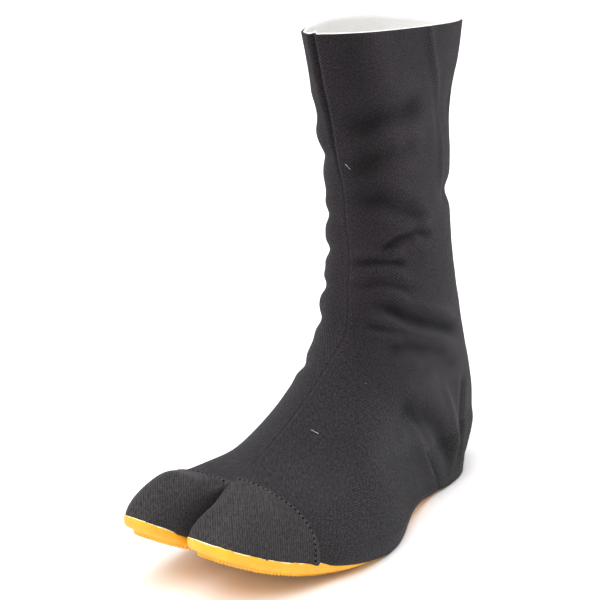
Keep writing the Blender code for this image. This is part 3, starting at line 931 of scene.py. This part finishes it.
class Plate:
    """The foot's outline in plan, with the numbers of the points at both ends of each row."""

    def __init__(self, pitch, tip_count, columns):
        self.places, self.cleft = [], []
        self.columns = columns
        body = body_rows(pitch)
        big, four = (tip_rows(lobe, tip_count) for lobe in LOBES)
        heel = self.add((0.0, 0.0))
        medial = [heel] + self.outer(body[1:], -1)
        big_outer = medial[-1:] + self.outer(big[1:], -1)
        big_inner = big_outer[-1:] + self.inner(big[-2::-1], -1)
        four_inner = big_inner[-1:] + self.inner(four[1:], 1)
        four_outer = four_inner[-1:] + self.outer(four[-2::-1], 1)
        lateral = four_outer[-1:] + self.outer(body[-2:0:-1], 1) + [heel]
        self.toes = [list(zip(big_outer, big_inner[::-1])), list(zip(four_inner, four_outer[::-1]))]
        self.body = list(zip(medial, lateral[::-1]))

    def add(self, place, cleft_share=None):
        self.places.append(place)
        self.cleft.append(cleft_share)
        return len(self.places) - 1

    def outer(self, rows, side):
        return [self.add((outer_x(u, side), u)) for u in rows]

    def inner(self, rows, side):
        us, xs, shares = INNER[side]
        return [self.add((float(np.interp(u, us, xs)), u), float(np.interp(u, us, shares))) for u in rows]

    def outwards(self):
        places = np.array(self.places)
        before = places - np.roll(places, 1, axis=0)
        after = np.roll(places, -1, axis=0) - places
        mean = unit(before) + unit(after)
        return unit(np.stack([-mean[:, 1], mean[:, 0]], 1))

    def lip(self):
        """How far the lip is there at each point: it dies away in the cleft."""
        return np.array([1.0 if c is None else smooth((c - LIP_FROM) / LIP_OVER) for c in self.cleft])

    def ring(self, out):
        """The outline moved outwards by one distance, or by one for each point."""
        amount = np.broadcast_to(out, len(self.places))
        return np.array(self.places) + self.outwards() * amount[:, None]

    def faces(self, rings, points, top, bottom):
        """Side faces between rings, and the rows across the first and the last ring."""
        count = len(self.places)
        faces = []
        for start in range(0, (rings - 1) * count, count):
            for j in range(count):
                a, b = start + j, start + (j + 1) % count
                faces.append([a, b, b + count, a + count])
        faces += self.fill(0, top, points)
        return faces + [face[::-1] for face in self.fill((rings - 1) * count, bottom, points)]

    def fill(self, base, height, points):
        """Quads across the rows of a ring; adds the points between the rows' ends."""
        big, four, body = [
            [self.across(base + a, base + b, height, points) for a, b in rows]
            for rows in (*self.toes, self.body[:-1])
        ]
        faces = []
        for rows in (big, four, body):
            for near, far in zip(rows, rows[1:]):
                faces += [[near[k], near[k + 1], far[k + 1], far[k]] for k in range(self.columns)]
        faces += bridged(body[-1], big[0] + four[0][1:])
        cleaned = [clean(face) for face in faces]
        return [face for face in cleaned if len(face) > 2]

    def across(self, a, b, height, points):
        """Numbers of the points along a row from a to b."""
        left, right = points[a], points[b]
        line = [a]
        for t in steps(self.columns)[1:-1]:
            x, u = (between(left[i], right[i], t) for i in (0, 1))
            points.append((x, u, height(u)))
            line.append(len(points) - 1)
        return line + [b]


def bridged(near, far):
    """Faces between two rows of different counts: two steps of the far row for each step of the near one."""
    faces = []
    for k in range(len(near) - 1):
        faces.append([near[k], near[k + 1], far[2 * k + 2], far[2 * k + 1], far[2 * k]])
    return faces


def tread_share(u):
    """How strongly the tread is ribbed: not under the arch."""
    return 1 - smooth((u - ARCH_FROM) / RIB_FADE) * smooth((ARCH_TO - u) / RIB_FADE)


def rib_wave(u):
    return 0.5 - 0.5 * math.cos(2 * math.pi * u / SERRATION)


def tread_height(u):
    return sole_bottom(u) + RIB_HEIGHT * rib_wave(u) * tread_share(u)


def slab_height(u, down):
    return sole_top(u) - down * SLAB_SHARE * sole_thick(u)


def lip_rise(x, u):
    """How far the sole's edge turns up, with its unevenness."""
    on_big = smooth((u - CROTCH_U) / LIP_BIG_OVER) if x < BIG_TOE.inner[0][0] else 0.0
    level = between(LIP_RISE, LIP_RISE_BIG, on_big)
    wave = LIP_WAVE * noise.noise(Vector((x, u, 0)) / LIP_WAVE_LONG)
    return (level + wave) * smooth((u - LIP_RISE_FROM) / LIP_RISE_OVER)


def build_sole(look):
    plate = Plate(SERRATION / RIB_STEPS, TIP_STEPS, TREAD_COLUMNS)
    us = [u for _, u in plate.places]
    lip, tuck = plate.lip(), tucked(np.array(us))
    points, cream = [], []
    for ring in SLAB_RINGS:
        out = ring.out * lip if ring.out > 0 else ring.out
        for (x, u), share in zip(plate.ring(out - tuck), lip):
            rise = lip_rise(x, u) * share**2 * (1 - ring.down) if ring.out > 0 else 0.0
            points.append((x, u, slab_height(u, ring.down) + rise))
            cream.append(ring.cream * smooth((u - LIP_CREAM_FROM) / (LIP_CREAM_FULL - LIP_CREAM_FROM)))
    runs = run_of(np.array(plate.places))
    teeth = np.array([rib_wave(run) * tread_share(u) for run, u in zip(runs, us)])
    for inset, down in TREAD_RINGS:
        for (x, u), tooth in zip(plate.ring(-inset - RIB_NOTCH * down * teeth - tuck), teeth):
            step = slab_height(u, 1.0)
            points.append((x, u, step + (sole_bottom(u) + RIB_HEIGHT * tooth - step) * down))
    faces = plate.faces(len(SLAB_RINGS) + len(TREAD_RINGS), points, sole_top, tread_height)
    cream += [0.0] * (len(points) - len(cream))
    made = add_piece("gum_sole", to_frame(points).tolist(), faces, look, ["outsole"])
    keep_values(made, "cream", cream)


def footbed_top(u):
    return foot_line(u) + INSOLE_THICK


def build_footbed(look):
    plate = Plate(FOOTBED_PITCH, FOOTBED_TIPS, FOOTBED_COLUMNS)
    us = np.array([u for _, u in plate.places])
    reach = (us - CROTCH_U) / (LENGTH - CROTCH_U)
    tips = INSOLE_TOE_INSET * smooth_all((reach - INSOLE_TOE_FROM) / (1 - INSOLE_TOE_FROM))
    points = []
    for inset, share in FOOTBED_RINGS:
        ring = plate.ring(-(INSOLE_INSET + inset + tips + tucked(us)))
        points += [(x, u, foot_line(u) + INSOLE_THICK * share) for x, u in ring]
    faces = plate.faces(len(FOOTBED_RINGS), points, footbed_top, foot_line)
    add_piece("footbed", to_frame(points).tolist(), faces, look, ["insole"])


# Stitches, the painted shade of each needle hole, and lint
RANDOM = np.random.default_rng(11)
THREAD_SIDES = 5
# Rings of one stitch: share of its length, of its thickness and of its height
THREAD_RINGS = [(0.0, 0.15, 0.0), (0.22, 0.85, 0.8), (0.5, 1.0, 1.0), (0.78, 0.85, 0.8), (1.0, 0.15, 0.0)]
SUNK = 0.4              # share of its height by which a stitch's ends are sunk into the cloth
QUILT_PITCH = 1.5       # rows of short stitches, like grains of rice, along the lower side
QUILT_STITCH = 1.2
QUILT_STEP = 2.4
QUILT_FROM = 2.2
QUILT_ROWS = 30
QUILT_TOP_U = [60, 84, 112, 138, 154, 194, 200]    # upper border of the stitched side by u
QUILT_TOP_Z = [38, 41, 46, 50, 46, 37, 35]
QUILT_RAGGED = 1.5
QUILT_UNEVEN = 0.35
COUNTER_PITCH = 2.0     # rows of stitches on the heel counter
COUNTER_FROM = 7.5
COUNTER_LINES = 18
COUNTER_UNEVEN = 0.25
COUNTER_CLEAR_LOW = 1.0     # they keep this far from the counter's lower and upper edges
COUNTER_CLEAR_TOP = 1.2
CAP_LINE_ROW = 4        # the cap's row along which it is sewn down
CAP_PITCH = 3.0
CAP_STITCH = 1.7
HOLE_SHADE = 1.4              # length of the painted shade of a needle hole
COUNTER_LINE = [(32, 92, 64.6), (32.7, 89, 59), (33.7, 79, 43.8), (32.7, 69.5, 22.9), (30.9, 63.5, 13.2)]
SEAM_STITCHES = 1.9     # distance of the stitches beside the front seam from it
FIBRES = [[(10.6, 154.5, 68.4), (16.9, 153.9, 66.7)], [(3, 109.4, 207.2), (6.1, 108.1, 203.4)]]


def seated(tree, places):
    """Places of the design put on a surface of the frame: points and normals in metres."""
    found = [tree.find_nearest(Vector(p)) for p in to_frame(places)]
    return np.array([f[0] for f in found]), np.array([f[1] for f in found])


def point_at(curve, run, wanted):
    return at_runs(curve, run, [wanted])[0]


class Threads:
    """Many short stitches in one mesh, with sizes in millimetres."""

    def __init__(self, radius, proud, flat=1.0):
        self.points, self.faces = [], []
        self.radius, self.proud, self.flat = radius * MM, proud * MM, flat

    def stitch(self, a, b, normal):
        a, b, normal = Vector(a), Vector(b), Vector(normal)
        way = (b - a).normalized()
        up = (normal - way * way.dot(normal)).normalized()
        side = way.cross(up)
        first = len(self.points)
        for share, thick, rise in THREAD_RINGS:
            middle = between(a, b, share) + up * self.proud * (rise - SUNK)
            for k in range(THREAD_SIDES):
                turn = 2 * math.pi * k / THREAD_SIDES
                around = side * math.cos(turn) + up * math.sin(turn) * self.flat
                self.points.append(middle + around * self.radius * thick)
        last = len(self.points) - THREAD_SIDES
        for start in range(first, last, THREAD_SIDES):
            for k in range(THREAD_SIDES):
                p, q = start + k, start + (k + 1) % THREAD_SIDES
                self.faces.append([p, q, q + THREAD_SIDES, p + THREAD_SIDES])
        self.faces.append([first + k for k in reversed(range(THREAD_SIDES))])
        self.faces.append([last + k for k in range(THREAD_SIDES)])

    def row(self, tree, places, pitch, length, start=0.0, wanted=None, uneven=0.0):
        """A row of stitches along places of the design, where wanted says so."""
        points, normals = seated(tree, places)
        run = run_of(points)
        at, long = start * MM, length * MM
        while at + long < run[-1]:
            ends = np.array([at, at + long]) + RANDOM.normal(0.0, uneven * MM, 2)
            aside = RANDOM.normal(0.0, 0.5 * uneven * MM) * np.array([0.0, 0.0, 1.0])
            middle = at + long / 2
            if wanted is None or wanted(point_at(np.asarray(places, float), run, middle)):
                a, b = (point_at(points, run, end) + aside for end in ends)
                self.stitch(a, b, point_at(normals, run, middle))
            at += pitch * MM

    def made(self, name, look, slot=None):
        add_piece(name, [tuple(p) for p in self.points], self.faces, look)


def foot_row(side, height, stations):
    """A line on the upper at this distance up from the sole, measured on the cloth."""
    curves = [np.array(half_section(row_at(s), side, DENSE_SHARES)) for s in stations]
    return [point_at(curve, run_of(curve), height) for curve in curves]


def quilted(place):
    ragged = RANDOM.normal(0.0, QUILT_RAGGED)
    return place[2] < np.interp(place[1], QUILT_TOP_U, QUILT_TOP_Z) + ragged


def quilt_row(threads, tree, k, places, uneven, wanted=None):
    """A row of rice-like stitches, every other row moved by half a step."""
    threads.row(tree, places, QUILT_STEP, QUILT_STITCH, QUILT_STEP / 2 * (k % 2), wanted, uneven)


def build_quilting(tree, look):
    """Running stitches in rows along both lower sides, from the toe caps to the heel counter."""
    threads = Threads(radius=0.36, proud=0.22)
    stations = np.linspace(0.12, COUNTER_ROW - 0.1, 90)
    for side in (-1, 1):
        for k in range(QUILT_ROWS):
            places = foot_row(side, QUILT_FROM + QUILT_PITCH * k, stations)
            quilt_row(threads, tree, k, places, QUILT_UNEVEN, quilted)
    threads.made("side_stitches", look, "twill_cotton")


def counter_places(side, height):
    """A level line on the counter, where it is clear of the counter's edges."""
    places = []
    for t in steps(70):
        row, top = counter_row(t)
        low = foot_line(max(0.0, row.medial_u)) if row.back_z is None else row.back_z
        if low + COUNTER_CLEAR_LOW < height < top - COUNTER_CLEAR_TOP:
            places.append(half_section(row, side, [share_at_height(row, side, height)])[0])
    return places


def build_counter_stitches(tree, look):
    threads = Threads(radius=0.26, proud=0.16)
    for side in (-1, 1):
        for k in range(COUNTER_LINES):
            places = counter_places(side, COUNTER_FROM + COUNTER_PITCH * k)
            if len(places) > 3:
                quilt_row(threads, tree, k, places, COUNTER_UNEVEN)
    threads.made("counter_stitches", look, "ribbed_cotton")


def build_cap_stitches(caps, look, hole_shade_look):
    """Stitches along the cap seams, then a dark dot in each gap between them: painted shade of the needle
    hole there.
    """
    threads = Threads(radius=0.2, proud=0.2)
    hole_shades = Threads(radius=0.62, proud=0.15, flat=0.4)
    lines = [(tree, grid.points[CAP_LINE_ROW, 1:CREST_COLUMN]) for grid, tree in caps]
    for tree, line in lines:
        threads.row(tree, line, CAP_PITCH, CAP_STITCH)
    threads.made("cap_stitches", look, "ribbed_cotton")
    for tree, line in lines:
        hole_shades.row(tree, line, CAP_PITCH, HOLE_SHADE, CAP_STITCH - 0.05, uneven=0.12)
    hole_shades.made("needle_hole_shades", hole_shade_look, "ribbed_cotton")


def build_counter_line(tree, look):
    """The sewn line in front of the heel counter, on both sides."""
    threads = Threads(radius=0.22, proud=0.25)
    for side in (-1, 1):
        path = np.array(COUNTER_LINE) * (side, 1, 1)
        places = at_runs(path, run_of(path), np.linspace(0.0, run_of(path)[-1], 60))
        threads.row(tree, places, pitch=2.8, length=1.3, uneven=0.2)
    threads.made("counter_line", look, "twill_cotton")


def build_fibres(tree, look):
    """Two bits of lint on the cloth."""
    threads = Threads(radius=0.16, proud=0.2)
    for ends in FIBRES:
        points, normals = seated(tree, ends)
        threads.stitch(*points, normals[0])
    threads.made("lint_fibres", look)


def build_seam_stitches(tree, look):
    """A row of stitches on each side of the front seam over the instep."""
    threads = Threads(radius=0.15, proud=0.1)
    for side in (-1, 1):
        curves = [seam_half(s, side) for s in np.linspace(0.2, 8.0, 160)]
        places = [point_at(curve, run_of(curve), run_of(curve)[-1] - SEAM_STITCHES) for curve in curves]
        threads.row(tree, places, pitch=2.3, length=1.6)
    threads.made("seam_stitches", look, "twill_cotton")


# Materials
TWILL_DARK = (0.002, 0.002, 0.002)
TWILL_LIGHT = (0.033, 0.0316, 0.0334)
# Painted light: the cloth is made paler on the foot, where the light from above falls, and tinted warm on
# the leg, like the warm light on the shaft
LEG_PAINTED_WARM_LIGHT = (1.0, 0.82, 0.92)
FOOT_PAINTED_LIGHT = (1.38, 1.34, 1.38)
WEAVE_MEAN = 0.67
TWILL_PITCH = 1.3
TWILL_TURN = math.radians(-54)
YARN_PITCH = 0.75
RIB_PITCH = 1.16
RIB_DARK = (0.004, 0.004, 0.004)
RIB_LIGHT = (0.065, 0.06, 0.063)
COUNTER_DARK = (0.003, 0.003, 0.003)
COUNTER_LIGHT = (0.038, 0.036, 0.038)
LINT_COLOUR = (0.3, 0.3, 0.31)
LINT_APART = 3.0        # size of the cells that may hold a speck of lint, share that do, size of a speck
LINT_SHARE = 0.16
LINT_SPECK = 0.06
AMBER_DARK = (0.84, 0.38, 0.008)
AMBER_LIGHT = (0.97, 0.50, 0.02)
CREAM = (0.93, 0.80, 0.55)
DIRT = (0.05, 0.03, 0.02)
BLACK = (0, 0, 0)
WHITE = (1, 1, 1)
WAVE_TURN = 2 * math.pi / 20    # a wave node's bands repeat after this at scale 1
ACROSS_TURN = math.pi / 2
COTTON_ROUGH = 0.9


def put(made, **values):
    """Sets a node's inputs by name."""
    for name, value in values.items():
        made.inputs[name.replace("_", " ")].default_value = value


def cotton(*tint):
    """The shader's values for soft cotton whose sheen has a tint."""
    return dict(Sheen_Weight=0.1, Sheen_Roughness=0.4, Sheen_Tint=(*tint, 1), Specular_IOR_Level=0.2)


class Look:
    """A material in the making."""

    def __init__(self, name, roughness, **values):
        self.material = bpy.data.materials.new(name)
        self.material.use_nodes = True
        self.tree = self.material.node_tree
        self.shader = self.tree.nodes["Principled BSDF"]
        put(self.shader, Roughness=roughness, **values)

    def done(self, colour, height=None, deep=0.0, strength=1.0):
        """The material with its colour and with bumps, their depth in millimetres."""
        self.tree.links.new(colour, self.shader.inputs["Base Color"])
        if height is not None:
            bump = self.node("Bump", Strength=strength, Distance=deep * MM)
            self.tree.links.new(height, bump.inputs["Height"])
            self.tree.links.new(bump.outputs[0], self.shader.inputs["Normal"])
        return self.material

    def node(self, kind, source=None, **values):
        """A node with inputs set by name and, where there is a source, its first one linked."""
        made = self.tree.nodes.new("ShaderNode" + kind)
        put(made, **values)
        if source is not None:
            self.tree.links.new(source, made.inputs[0])
        return made

    def feed(self, sockets, values):
        """Sets sockets to numbers or colours, or links them."""
        for socket, value in zip(sockets, values):
            if isinstance(value, tuple):
                socket.default_value = (*value, 1)
            elif isinstance(value, (int, float)):
                socket.default_value = value
            else:
                self.tree.links.new(value, socket)

    def math(self, operation, *values):
        made = self.node("Math")
        made.operation = operation
        self.feed(made.inputs, values)
        return made.outputs[0]

    def plus(self, a, b):
        return self.math("ADD", a, b)

    def minus(self, a, b):
        return self.math("SUBTRACT", a, b)

    def times(self, a, b):
        return self.math("MULTIPLY", a, b)

    def ramp(self, source, low, high, start=0.0, end=1.0):
        """A colour between two as the source goes from start to end."""
        made = self.node("ValToRGB", source)
        for stop, at, colour in zip(made.color_ramp.elements, (start, end), (low, high)):
            stop.position = at
            stop.color = (*colour, 1)
        return made.outputs[0]

    def mixed(self, share, first, second, blend="MIX"):
        made = self.node("Mix")
        made.data_type = "RGBA"
        made.blend_type = blend
        self.feed((made.inputs["Factor"], made.inputs[6], made.inputs[7]), (share, first, second))
        return made.outputs[2]

    def tinted(self, colour, tint):
        return self.mixed(1.0, colour, tint, "MULTIPLY")

    def ranged(self, source, *limits):
        """The source moved from one range to another: from low, from high, to low, to high."""
        made = self.node("MapRange", source)
        self.feed(made.inputs[1:5], limits)
        return made.outputs[0]

    def cloth_places(self):
        made = self.node("UVMap")
        made.uv_map = "cloth"
        return made.outputs[0]

    def object_places(self):
        return self.node("TexCoord").outputs["Object"]

    def attribute(self, name):
        made = self.node("Attribute")
        made.attribute_name = name
        return made.outputs["Fac"]

    def clouds(self, place, scale, detail=2.0, roughness=0.5):
        return self.node("TexNoise", place, Scale=scale, Detail=detail, Roughness=roughness).outputs["Fac"]

    def toned(self, scale, detail, low, high, start=0.3, end=0.7):
        """A colour that wavers between two over the object."""
        return self.ramp(self.clouds(self.object_places(), scale, detail), low, high, start, end)

    def bands(self, place, pitch, turn, distortion):
        """Bands of a pitch across a direction turned by an angle, from 0 to 1."""
        turned = self.node("Mapping", place, Rotation=(0, 0, turn)).outputs[0]
        wave = self.node("TexWave", turned, Scale=WAVE_TURN / pitch, Distortion=distortion)
        put(wave, Detail=1.0, Detail_Scale=1.5)
        return wave.outputs["Fac"]

    def plain_weave(self, place, pitch, distortion):
        """Height of warp and weft."""
        warp = self.bands(place, pitch, 0.0, distortion)
        return self.times(warp, self.bands(place, pitch, ACROSS_TURN, distortion))

    def napped(self, weave, place, nap):
        """Height of a weave under its nap."""
        fuzz = self.minus(self.clouds(place, 0.8, 3.0, 0.65), 0.5)
        return self.plus(weave, self.times(fuzz, nap))

    def threads(self, height, low, high, dark, light):
        """A weave's colour by its height."""
        return self.ramp(self.ranged(height, low, high, 0.0, 1.0), dark, light)

    def worn(self, scale, low, high):
        """Tints of worn cloth."""
        return self.ramp(self.clouds(self.object_places(), scale, 3.0, 0.55), low, high, 0.35, 0.7)

    def painted_fold_shade(self):
        """Painted shade in the troughs of the folds and painted light on their ridges, partly also the paler
        wear of the ridges.
        """
        return self.ranged(self.attribute("fold_for_shade"), -2.6, 1.2, 0.42, 1.28)

    def up_the_leg(self):
        """From 0 on the foot, where the cloth is rubbed fuzzy, to 1 on the leg, where its weave shows."""
        # the same share places the painted light on the foot and the leg
        apart = self.node("SeparateXYZ", self.object_places())
        return self.ranged(apart.outputs[2], 0.05, 0.13, 0.0, 1.0)

    def linted(self, colour, place):
        """A colour with sparse specks of lint."""
        cells = self.node("TexVoronoi", place, Scale=1 / LINT_APART, Randomness=1.0)
        apart = self.node("SeparateColor", cells.outputs["Color"])
        chosen = self.math("GREATER_THAN", apart.outputs[0], 1 - LINT_SHARE)
        small = self.math("LESS_THAN", cells.outputs["Distance"], LINT_SPECK)
        specks = self.times(self.times(chosen, small), apart.outputs[1])
        return self.mixed(specks, colour, LINT_COLOUR)


def twill_material():
    look = Look("black_twill", COTTON_ROUGH, **cotton(0.85, 0.85, 0.95))
    place = look.cloth_places()
    leg = look.up_the_leg()
    lines = look.bands(place, TWILL_PITCH, TWILL_TURN, 0.8)
    yarns = look.bands(place, YARN_PITCH, TWILL_TURN + ACROSS_TURN, 1.5)
    weave = look.minus(look.plus(lines, look.times(yarns, 0.35)), WEAVE_MEAN)
    shown = look.times(weave, look.ranged(leg, 0.0, 1.0, 0.12, 0.9))
    height = look.napped(shown, place, 4.4)
    threads = look.threads(height, -1.2, 1.2, TWILL_DARK, TWILL_LIGHT)
    worn = look.worn(22.0, (0.82, 0.83, 0.84), (1.22, 1.17, 1.2))
    # random wear, times the painted light on the foot and leg, times the painted shade and light of the
    # folds
    wear_and_painted_light = look.tinted(look.tinted(worn, look.ramp(leg, FOOT_PAINTED_LIGHT, LEG_PAINTED_WARM_LIGHT)), look.painted_fold_shade())
    return look.done(look.linted(look.tinted(threads, wear_and_painted_light), place), height, 0.3, 0.9)


def ribbed_material():
    look = Look("ribbed_cotton", COTTON_ROUGH, **cotton(0.9, 0.88, 0.95))
    place = look.cloth_places()
    cords = look.times(look.bands(place, RIB_PITCH, 0.0, 0.35), 0.6)
    turns = look.times(look.bands(place, 0.7, ACROSS_TURN, 2.0), 0.2)
    height = look.napped(look.plus(cords, turns), place, 2.8)
    threads = look.threads(height, -0.6, 1.4, RIB_DARK, RIB_LIGHT)
    worn = look.worn(30.0, (0.85, 0.85, 0.85), (1.2, 1.17, 1.17))
    return look.done(look.linted(look.tinted(threads, worn), place), height, 0.3, 0.9)


def counter_material():
    look = Look("counter_cotton", COTTON_ROUGH, **cotton(0.85, 0.85, 0.95))
    place = look.cloth_places()
    lines = look.times(look.bands(place, 1.1, ACROSS_TURN, 0.8), 0.25)
    height = look.napped(lines, place, 4.0)
    threads = look.threads(height, -1.0, 1.2, COUNTER_DARK, COUNTER_LIGHT)
    # the counter's colour carries painted shade in the troughs of its folds and painted light on their
    # ridges
    return look.done(look.tinted(threads, look.painted_fold_shade()), height, 0.25, 0.9)


def lining_material():
    look = Look("off_white_cotton", COTTON_ROUGH)
    height = look.plain_weave(look.cloth_places(), 0.8, 0.5)
    colour = look.toned(40.0, 3.0, (0.93, 0.92, 0.90), (0.98, 0.975, 0.965))
    return look.done(colour, height, 0.15, 0.8)


def footbed_material():
    look = Look("footbed_canvas", 0.92)
    scaled = look.node("VectorMath", look.object_places())
    scaled.operation = "SCALE"
    put(scaled, Scale=1 / MM)
    height = look.plain_weave(scaled.outputs[0], 1.1, 0.4)
    colour = look.toned(35.0, 3.0, (0.64, 0.60, 0.52), (0.80, 0.77, 0.70))
    return look.done(colour, height, 0.2, 0.8)


def gum_material():
    look = Look("amber_gum", 0.42, Subsurface_Weight=0.25, Subsurface_Scale=0.003)
    put(look.shader, Subsurface_Radius=(1.0, 0.45, 0.12))
    place = look.object_places()
    cloudy = look.clouds(place, 60.0, 4.0, 0.6)
    amber = look.ramp(cloudy, AMBER_DARK, AMBER_LIGHT, 0.3, 0.72)
    lip = look.attribute("cream")
    torn = look.plus(lip, look.times(look.clouds(place, 170.0, 3.0, 0.6), 1.6))
    colour = look.mixed(look.ramp(look.times(torn, 0.5), BLACK, WHITE, 0.82, 0.9), amber, CREAM)
    specks = look.times(look.clouds(place, 420.0, 1.0), lip)
    dirty = look.mixed(look.ramp(specks, BLACK, WHITE, 0.66, 0.7), colour, DIRT)
    fine = look.times(look.clouds(place, 900.0, 3.0, 0.6), 0.4)
    return look.done(dirty, look.plus(cloudy, fine), 0.3, 0.5)


def plain_material(name, roughness, scale, detail, low, high, **values):
    """A material of one colour that wavers a little."""
    look = Look(name, roughness, **values)
    return look.done(look.toned(scale, detail, low, high))


def thread_material():
    colours = (0.018, 0.017, 0.018), (0.064, 0.061, 0.064)
    return plain_material("black_thread", 0.8, 700.0, 2.0, *colours, **cotton(0.9, 0.9, 0.95))


def cap_thread_material():
    return plain_material("grey_thread", 0.75, 700.0, 2.0, (0.045, 0.043, 0.045), (0.1, 0.097, 0.1))


def lint_material():
    return plain_material("lint", COTTON_ROUGH, 900.0, 1.0, (0.25, 0.25, 0.26), (0.6, 0.6, 0.6))


def hole_shade_material():
    # near black: painted shade of a needle hole
    colours = (0.002, 0.002, 0.002), (0.006, 0.006, 0.006)
    return plain_material("needle_hole_shade", 1.0, 900.0, 1.0, *colours, Specular_IOR_Level=0.0)


# Stage, light and camera
CAMERA_AT = (420.0, 685.0, 326.0)   # place of the camera in the design's millimetres
CAMERA_TURN = math.radians(38.0)
CAMERA_RISE = math.radians(15.4)
CAMERA_ROLL = math.radians(-1.1)
SENSOR = 36.0
LENS = 2.19 * SENSOR
FLOOR_HALF = 40.0
WORLD_STRENGTH = 0.64
# Lights: the direction each comes from, its spread in degrees, power and colour
LIGHTS = [
    ("key", (0.1, -0.38, 1.0), 50.0, 2.75, (1.0, 0.98, 0.98)),
    ("fill", (-0.7, -0.8, 0.8), 60.0, 0.7, (0.96, 0.98, 1.0)),
    ("back", (0.0, 0.9, 1.0), 60.0, 0.7, (1.0, 0.97, 0.94)),
]


def build_camera():
    a, e, r = CAMERA_TURN, CAMERA_RISE, CAMERA_ROLL
    back = Vector((math.sin(a) * math.cos(e), -math.cos(a) * math.cos(e), math.sin(e)))
    level = Vector((math.cos(a), math.sin(a), 0.0))
    upright = back.cross(level)
    right = level * math.cos(r) + upright * math.sin(r)
    up = upright * math.cos(r) - level * math.sin(r)
    data = bpy.data.cameras.new("camera")
    data.sensor_width = SENSOR
    data.lens = LENS
    data.clip_start = 0.01
    data.clip_end = 50.0
    made = add_object("camera", data)
    turned = Matrix((right, up, back)).transposed().to_4x4()
    made.matrix_world = Matrix.Translation(to_frame([CAMERA_AT])[0]) @ turned
    bpy.context.scene.camera = made


def build_floor():
    look = Look("white_paper", 0.7, Specular_IOR_Level=0.15)
    paper = look.done(look.toned(3.0, 1.0, (0.92, 0.92, 0.92), (0.94, 0.94, 0.94), 0.0, 1.0))
    corners = [(-FLOOR_HALF, -FLOOR_HALF, 0), (FLOOR_HALF, -FLOOR_HALF, 0)]
    corners += [(FLOOR_HALF, FLOOR_HALF, 0), (-FLOOR_HALF, FLOOR_HALF, 0)]
    floor = add_mesh("floor", corners, [[0, 1, 2, 3]], paper)


def soft_light(name, towards, spread, power, colour):
    """A very wide distant light that comes from a direction."""
    data = bpy.data.lights.new(name, "SUN")
    data.angle = math.radians(spread)
    data.energy = power
    data.color = colour
    made = add_object(name, data)
    made.rotation_mode = "QUATERNION"
    made.rotation_quaternion = Vector(towards).to_track_quat("Z", "Y")


def build_light():
    world = bpy.data.worlds.new("studio")
    world.use_nodes = True
    put(world.node_tree.nodes["Background"], Color=(*WHITE, 1), Strength=WORLD_STRENGTH)
    bpy.context.scene.world = world
    for light in LIGHTS:
        soft_light(*light)
    bpy.context.scene.view_settings.view_transform = "Standard"


def build_boot():
    ribbed, thread, grey_thread = ribbed_material(), thread_material(), cap_thread_material()
    upper_tree = build_upper(twill_material(), lining_material())
    grids = [cap_grid(lobe) for lobe in LOBES]
    names = ("toe_cap_big", "toe_cap_four")
    caps = [(grid, build_cap(grid, name, ribbed)) for grid, name in zip(grids, names)]
    counter_tree = build_counter(counter_material())
    build_sole(gum_material())
    build_footbed(footbed_material())
    build_quilting(upper_tree, thread)
    build_counter_stitches(counter_tree, thread)
    build_cap_stitches(caps, grey_thread, hole_shade_material())
    build_counter_line(upper_tree, grey_thread)
    build_fibres(upper_tree, lint_material())
    build_seam_stitches(upper_tree, thread)


build_boot()
build_camera()
build_floor()
build_light()
